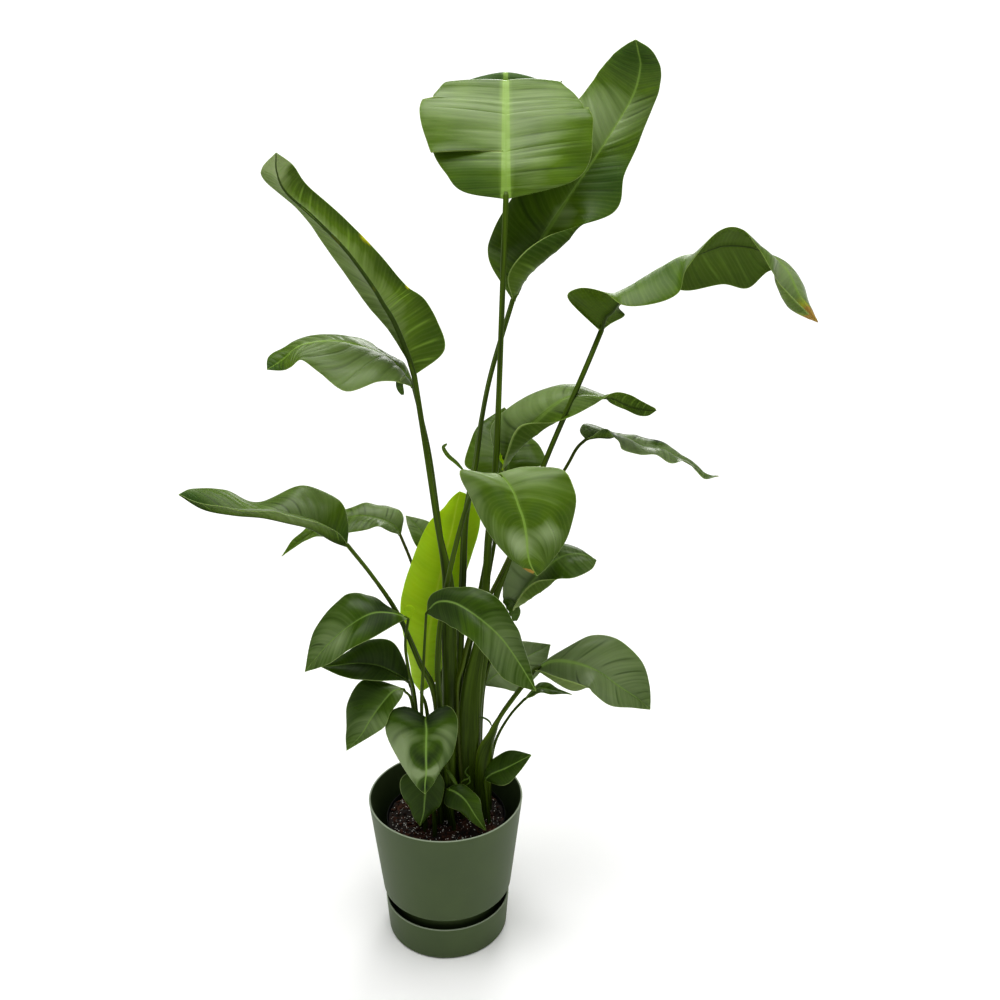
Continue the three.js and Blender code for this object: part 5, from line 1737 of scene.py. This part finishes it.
@dataclass(frozen=True)
class Pot:
    """The pot: a cone with a thin rounded lip, a rounded lower edge and a narrower foot, sizes in mm."""

    rim_radius: float = 123.0
    height: float = 240.0
    wall: float = 3.0
    cone_radius: float = 105.5  # outside, at the cone's foot
    cone_height: float = 88.0  # where the inside of the cone ends
    foot_radius: float = 86.0
    foot_top: float = 74.0  # where the foot meets the cone
    bottom: float = 4.3  # the foot's underside, on the saucer's floor
    floor: float = 4.0
    foot_round: float = 2.0  # radius of the foot's lower edge
    edge_round: float = 9.0  # radius of the cone's lower edge
    edge_inset: tuple[float, float] = (0.6, 1.0)  # how far that round stands in and up
    lean: float = 6.0  # of the wall, in degrees
    inner_corner: tuple[float, float] = (4.0, 3.0)  # how far in and up the inside turns to the foot

    def make(self, finish: bpy.types.Material) -> bpy.types.Object:
        """Builds the pot, which stands for its CAD node.

        Args:
            finish: Its plastic.

        Returns:
            The object.
        """
        lip = self.wall / 2
        inside, foot_inside = self.cone_radius - self.wall, self.foot_radius - self.wall
        floor_top = self.bottom + self.floor
        edge, foot = self.edge_round, self.foot_round
        (inset, rise), (inner_in, inner_up) = self.edge_inset, self.inner_corner
        profile = [
            (0, self.bottom),
            *arc(self.foot_radius - foot, self.bottom + foot, foot, -90, 0, 4),
            (self.foot_radius, self.foot_top),
            *arc(self.cone_radius - edge - inset, self.foot_top + edge + rise, edge, -90, -self.lean, 8),
            *arc(self.rim_radius - lip, self.height - lip, lip, 0, 180, 8),
            (inside, self.cone_height),
            (inside - inner_in, self.foot_top + self.wall + inner_up),
            (foot_inside, self.foot_top + self.wall),
            (foot_inside, floor_top),
            (0, floor_top),
        ]
        skin = mark_lip_highlight(spin(supported(profile)), self.height)
        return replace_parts(make_piece("fine_pot", [skin], [finish]), "pot")


@dataclass(frozen=True)
class GrowPot:
    """The thin black nursery pot that holds the soil, sizes in mm."""

    rim_radius: float = 96.0
    base_radius: float = 74.0
    bottom: float = 8.6
    rim_height: float = 203.0
    wall: float = 2.0
    band: float = 8.0  # height of the rim's band
    step: float = 0.8  # how far the band stands out, and the rim's round

    def make(self, finish: bpy.types.Material) -> bpy.types.Object:
        """Builds the grow pot, which stands for its CAD node.

        Args:
            finish: Its plastic.

        Returns:
            The object.
        """
        rim = self.rim_radius - self.step
        profile = [
            (0, self.bottom),
            (self.base_radius, self.bottom),
            (rim, self.rim_height - self.band - 1),
            (self.rim_radius, self.rim_height - self.band),
            *arc(rim, self.rim_height - self.step, self.step, 0, 180, 5),
            (self.base_radius - self.wall, self.bottom + self.wall),
            (0, self.bottom + self.wall),
        ]
        piece = make_piece("fine_grow_pot", [spin(supported(profile))], [finish])
        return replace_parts(piece, "grow_pot")


@dataclass(frozen=True)
class Soil:
    """The potting mix: a lumpy heap that fills the grow pot, with bark and perlite on it, sizes in mm."""

    wall_radius: float = 93.0
    bottom_radius: float = 71.5
    bottom: float = 11.0
    level: float = 196.0  # mean height of the top
    heap: float = 7.0  # how much higher the middle is
    heap_radius: float = 96.0  # where the heap has sunk to the level
    roughness: float = 2.2  # height of the broad lumps
    rings: int = 70
    segments: int = 200
    bark_count: int = 420
    bark_size: tuple[float, float] = (1.6, 4.2)  # least and greatest radius
    bark_stretch: tuple[Point, Point] = ((0.8, 0.4, 0.3), (1.5, 0.8, 0.6))  # its share on each axis
    perlite_count: int = 760
    perlite_size: tuple[float, float] = (0.5, 1.25)
    perlite_stretch: tuple[float, float] = (0.7, 1.2)  # least and greatest share on any axis
    uneven: tuple[float, float] = (0.8, 1.2)  # how far a crumb's corners stand in or out
    margin: float = 3.0  # how far crumbs keep from the wall
    seed: int = 11

    def height(self, x: np.ndarray, y: np.ndarray) -> np.ndarray:
        """Gives the height of the soil at a place.

        A low heap falls with the square of the radius. Two products and sums of sines some 30 to 60 mm long
        are its broad lumps, and random waves 16, 6 and 3.2 mm long its fine ones.

        Args:
            x: First coordinate.
            y: Second coordinate.

        Returns:
            The height of each place.
        """
        heap = self.heap * (1 - (np.hypot(x, y) / self.heap_radius) ** 2)
        broad = np.sin(x * 0.11 + 1.3) * np.cos(y * 0.13) + 0.6 * np.sin(x * 0.05 - y * 0.19)
        fine = 1.6 * lumps(x, y, 16, 5) + 0.9 * np.abs(lumps(x, y, 6, 6)) + 0.5 * lumps(x, y, 3.2, 7)
        return self.level + heap + self.roughness * broad + fine

    def body(self) -> Surface:
        """Builds the soil's body: rings from the middle out over the top, then down the wall to the bottom.

        Returns:
            The closed skin.
        """
        radius = np.concatenate([np.linspace(1.0, self.wall_radius, self.rings), [self.bottom_radius]])
        angle = np.linspace(0, 2 * math.pi, self.segments, endpoint=False)
        x, y = radius[:, None] * np.cos(angle), radius[:, None] * np.sin(angle)
        z = self.height(x, y)
        z[-1] = self.bottom
        rings = np.stack([x, y, z], -1)
        index = np.arange(rings.shape[0] * self.segments).reshape(-1, self.segments)
        after = np.roll(index, -1, axis=1)
        sides = np.stack([index[:-1], index[1:], after[1:], after[:-1]], -1).reshape(-1, 4)
        middle, low = index.size, index.size + 1
        top = np.stack([np.full(self.segments, middle), index[0], after[0]], -1)
        base = np.stack([np.full(self.segments, low), after[-1], index[-1]], -1)
        centre = [[0, 0, float(self.height(np.zeros(1), np.zeros(1))[0])], [0, 0, self.bottom]]
        points = np.vstack([rings.reshape(-1, 3), centre])
        return Surface(points, [sides, top, base], points[:, :2] * MM, {"grain": np.zeros(len(points))})

    def crumbs(self) -> Surface:
        """Scatters crumbs over the top.

        Each is a twenty-sided ball, stretched and turned at random and sunk a third into the soil: flat dark
        chips of bark, and small round white grains of perlite. The ball's corners are those of three golden
        rectangles that stand square to each other.

        Returns:
            All the crumbs as one surface of loose closed balls.
        """
        golden = (1 + math.sqrt(5)) / 2
        corners = [
            (-1, golden, 0), (1, golden, 0), (-1, -golden, 0), (1, -golden, 0),
            (0, -1, golden), (0, 1, golden), (0, -1, -golden), (0, 1, -golden),
            (golden, 0, -1), (golden, 0, 1), (-golden, 0, -1), (-golden, 0, 1),
        ]
        ball = np.array(corners) / math.hypot(1, golden)
        sides = np.array([
            (0, 11, 5), (0, 5, 1), (0, 1, 7), (0, 7, 10), (0, 10, 11), (1, 5, 9), (5, 11, 4), (11, 10, 2),
            (10, 7, 6), (7, 1, 8), (3, 9, 4), (3, 4, 2), (3, 2, 6), (3, 6, 8), (3, 8, 9), (4, 9, 5),
            (2, 4, 11), (6, 2, 10), (8, 6, 7), (9, 8, 1),
        ])
        rng = np.random.default_rng(self.seed)
        count = self.bark_count + self.perlite_count
        is_bark = np.arange(count) < self.bark_count
        radius = (self.wall_radius - self.margin) * np.sqrt(rng.uniform(0, 1, count))
        angle = rng.uniform(0, 2 * math.pi, count)
        x, y = radius * np.cos(angle), radius * np.sin(angle)
        size = np.where(is_bark, rng.uniform(*self.bark_size, count), rng.uniform(*self.perlite_size, count))
        flat = rng.uniform(*self.bark_stretch, (count, 3))
        plump = rng.uniform(*self.perlite_stretch, (count, 3))
        stretch = np.where(is_bark[:, None], flat, plump)
        turn = np.linalg.qr(rng.normal(size=(count, 3, 3)))[0]
        turn[:, :, 0] *= np.sign(np.linalg.det(turn))[:, None]
        wobble = rng.uniform(*self.uneven, (count, len(ball), 1))
        local = ball[None] * wobble * stretch[:, None] * size[:, None, None]
        local = np.einsum("nij,nkj->nki", turn, local)
        place = np.stack([x, y, self.height(x, y) + 0.3 * size], -1)
        points = (local + place[:, None]).reshape(-1, 3)
        faces = (sides[None] + len(ball) * np.arange(count)[:, None, None]).reshape(-1, 3)
        grain = np.repeat(np.where(is_bark, 0.5, 1.0), len(ball))
        return Surface(points, [faces], points[:, :2] * MM, {"grain": grain})

    def make(self, finish: bpy.types.Material) -> bpy.types.Object:
        """Builds the soil, which stands for its CAD node.

        Args:
            finish: The potting mix.

        Returns:
            The object.
        """
        piece = make_piece("fine_soil", [self.body(), self.crumbs()], [finish])
        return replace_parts(piece, "soil")


# ---------------------------------------------------------------- studio


def turn_to(direction: np.ndarray) -> tuple[float, float, float]:
    """Gives the turn about X and Z that points an object's -Z axis along a direction.

    Args:
        direction: The direction, of any length.

    Returns:
        The three angles, in radians.
    """
    x, y, z = direction / np.linalg.norm(direction)
    return (math.acos(-z), 0.0, math.atan2(-x, y))


@dataclass(frozen=True)
class SoftBox:
    """A square soft light: its place and what it looks at, in metres, its side and its power in watts."""

    name: str
    place: Point
    aim: Point
    side: float
    power: float

    def make(self) -> bpy.types.Object:
        """Builds the light.

        Returns:
            The lamp's object.
        """
        light = bpy.data.lights.new(self.name, "AREA")
        light.shape = "SQUARE"
        light.size = self.side
        light.energy = self.power
        lamp = bpy.data.objects.new(self.name, light)
        lamp.location = self.place
        lamp.rotation_euler = turn_to(np.array(self.aim) - np.array(self.place))
        bpy.context.scene.collection.objects.link(lamp)
        return lamp


@dataclass(frozen=True)
class Studio:
    """Camera, floor and lights.

    The camera stands 1.2 m up and 1.4 m in front of the pot's axis, a little to the right, and looks down by
    18.3 degrees. Its focal length gives 1014 pixels a unit of slope on a picture 1000 pixels wide.
    """

    camera_place: Point = (0.087, -1.400, 1.200)
    camera_drop: float = 18.3  # degrees below level
    focal_pixels: float = 1014.0
    picture_pixels: float = 1000.0
    sensor: float = 36.0  # mm
    floor_radius: float = 1.8  # metres, as are all places
    floor_drop: float = 0.0002  # below the saucer, so that the two don't flicker
    floor_sides: int = 96
    wall: float = 1.0  # brightness of the walls
    ceiling: float = 0.30  # and of the ceiling
    wall_top: tuple[float, float] = (0.14, 0.28)  # Z of the directions between which one turns to the other
    boxes: tuple[SoftBox, ...] = (
        SoftBox("box_overhead", (-0.1, -0.2, 3.3), (0.0, 0.0, 0.7), 2.4, 90.0),
        SoftBox("box_back", (0.5, 2.4, 2.4), (0.0, 0.0, 0.8), 1.2, 24.0),
    )

    def make_camera(self) -> None:
        """Builds the camera and makes it the scene's."""
        lens = bpy.data.cameras.new("camera")
        lens.sensor_width = self.sensor
        lens.lens = self.sensor * self.focal_pixels / self.picture_pixels
        camera = bpy.data.objects.new("camera", lens)
        camera.location = self.camera_place
        camera.rotation_euler = (math.radians(90 - self.camera_drop), 0.0, 0.0)
        bpy.context.scene.collection.objects.link(camera)
        bpy.context.scene.camera = camera

    def make_floor(self) -> None:
        """Builds the floor: a flat round sheet of paper, whose edge melts into walls as bright as itself."""
        angle = np.linspace(0, 2 * math.pi, self.floor_sides, endpoint=False)
        x, y = self.floor_radius * np.cos(angle), self.floor_radius * np.sin(angle)
        mesh = bpy.data.meshes.new("paper_floor")
        ring = np.stack([x, y, 0 * angle - self.floor_drop], -1)
        mesh.from_pydata(ring.tolist(), [], [list(range(self.floor_sides))])
        mesh.materials.append(PaperFloor().make())
        floor = bpy.data.objects.new("paper_floor", mesh)
        bpy.context.scene.collection.objects.link(floor)

    def make_world(self) -> None:
        """Fills the room with soft white light: bright paper walls all round and a dimmer ceiling."""
        tree = NodeTree(bpy.data.worlds.new("room"))
        height = tree.add("SeparateXYZ", {0: tree.add("TexCoord", out="Generated")}, out="Z")
        low, high = self.wall_top
        strength = tree.add("MapRange", {0: height, 1: low, 2: high, 3: self.wall, 4: self.ceiling})
        light = tree.add("Background", {"Color": linear("#ffffff"), "Strength": strength})
        tree.add("OutputWorld", {"Surface": light})
        bpy.context.scene.world = tree.owner

    def make(self) -> None:
        """Builds the whole studio, and sets a plain view with a little more contrast."""
        self.make_camera()
        self.make_floor()
        self.make_world()
        for box in self.boxes:
            box.make()
        view = bpy.context.scene.view_settings
        view.view_transform = "Standard"
        view.look = "Medium High Contrast"


# ---------------------------------------------------------------- the whole plant


def make_finishes() -> Finishes:
    """Builds the finishes of the blades.

    Returns:
        The finish of the upper and of the lower face at each age.
    """
    # In order: name, deep, bright, painted sheen, rib, crease, margin, painted shade.
    tall = LeafFinish(
        "leaf, full grown", "#364c06", "#526c12", "#8c9c72", "#789440", "#26360a", "#94a560", "#2b4703"
    )
    low = LeafFinish(
        "leaf, low in the clump", "#2a4006", "#466010", "#86966c", "#7c9a4a", "#1e2e05", "#93a563", "#1a2c03",
        roughness=0.30, ior=1.28, veins=0.02,
    )
    new = LeafFinish(
        "leaf, new", "#8cac06", "#a2be0c", "#b0ca3c", "#b2c83c", "#98b014", "#b4cc48", "#98b014",
        roughness=0.5, ior=1.24, glow=0.6,
    )
    below = LeafFinish(
        "leaf underside", "#3e5406", "#4e660c", "#8c9c68", "#2f400a", "#6f8a34", "#98aa66", "#2c4202",
        roughness=0.5, ior=1.27,
    )
    new_below = LeafFinish(
        "leaf underside, new", "#7e9a0a", "#8cac10", "#a4be3c", "#9cb82c", "#96b428", "#a8c240", "#88a40c",
        roughness=0.5, ior=1.24, glow=0.45,
    )
    under = below.make()
    return {
        LeafAge.TALL: (tall.make(), under),
        LeafAge.LOW: (low.make(), under),
        LeafAge.NEW: (new.make(), new_below.make()),
    }


def main() -> None:
    """Builds the studio, the pot with its soil, and every leaf."""
    logging.basicConfig(level=logging.INFO, format="%(name)s: %(message)s")
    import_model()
    Studio().make()
    # Each plastic: its clean colour, its dusty tone and its painted lip highlight.
    green = MouldedPlastic("polypropylene, sage green", "#42512f", "#495834", "#8f9a84").make()
    black = MouldedPlastic("polypropylene, black, recycled", "#060706", "#0c0d0c", "#0c0d0c", 0.75).make()
    Saucer().make(green)
    Pot().make(green)
    GrowPot().make(black)
    Soil().make(PottingMix().make())
    finishes = make_finishes()
    stalk_finish = StalkFinish().make()
    for seed, shape in enumerate(LEAVES, start=1):
        Leaf(shape, seed).make(finishes, stalk_finish)
    for shred in SHREDS:
        shred.make(finishes)


if __name__ == "__main__":
    main()
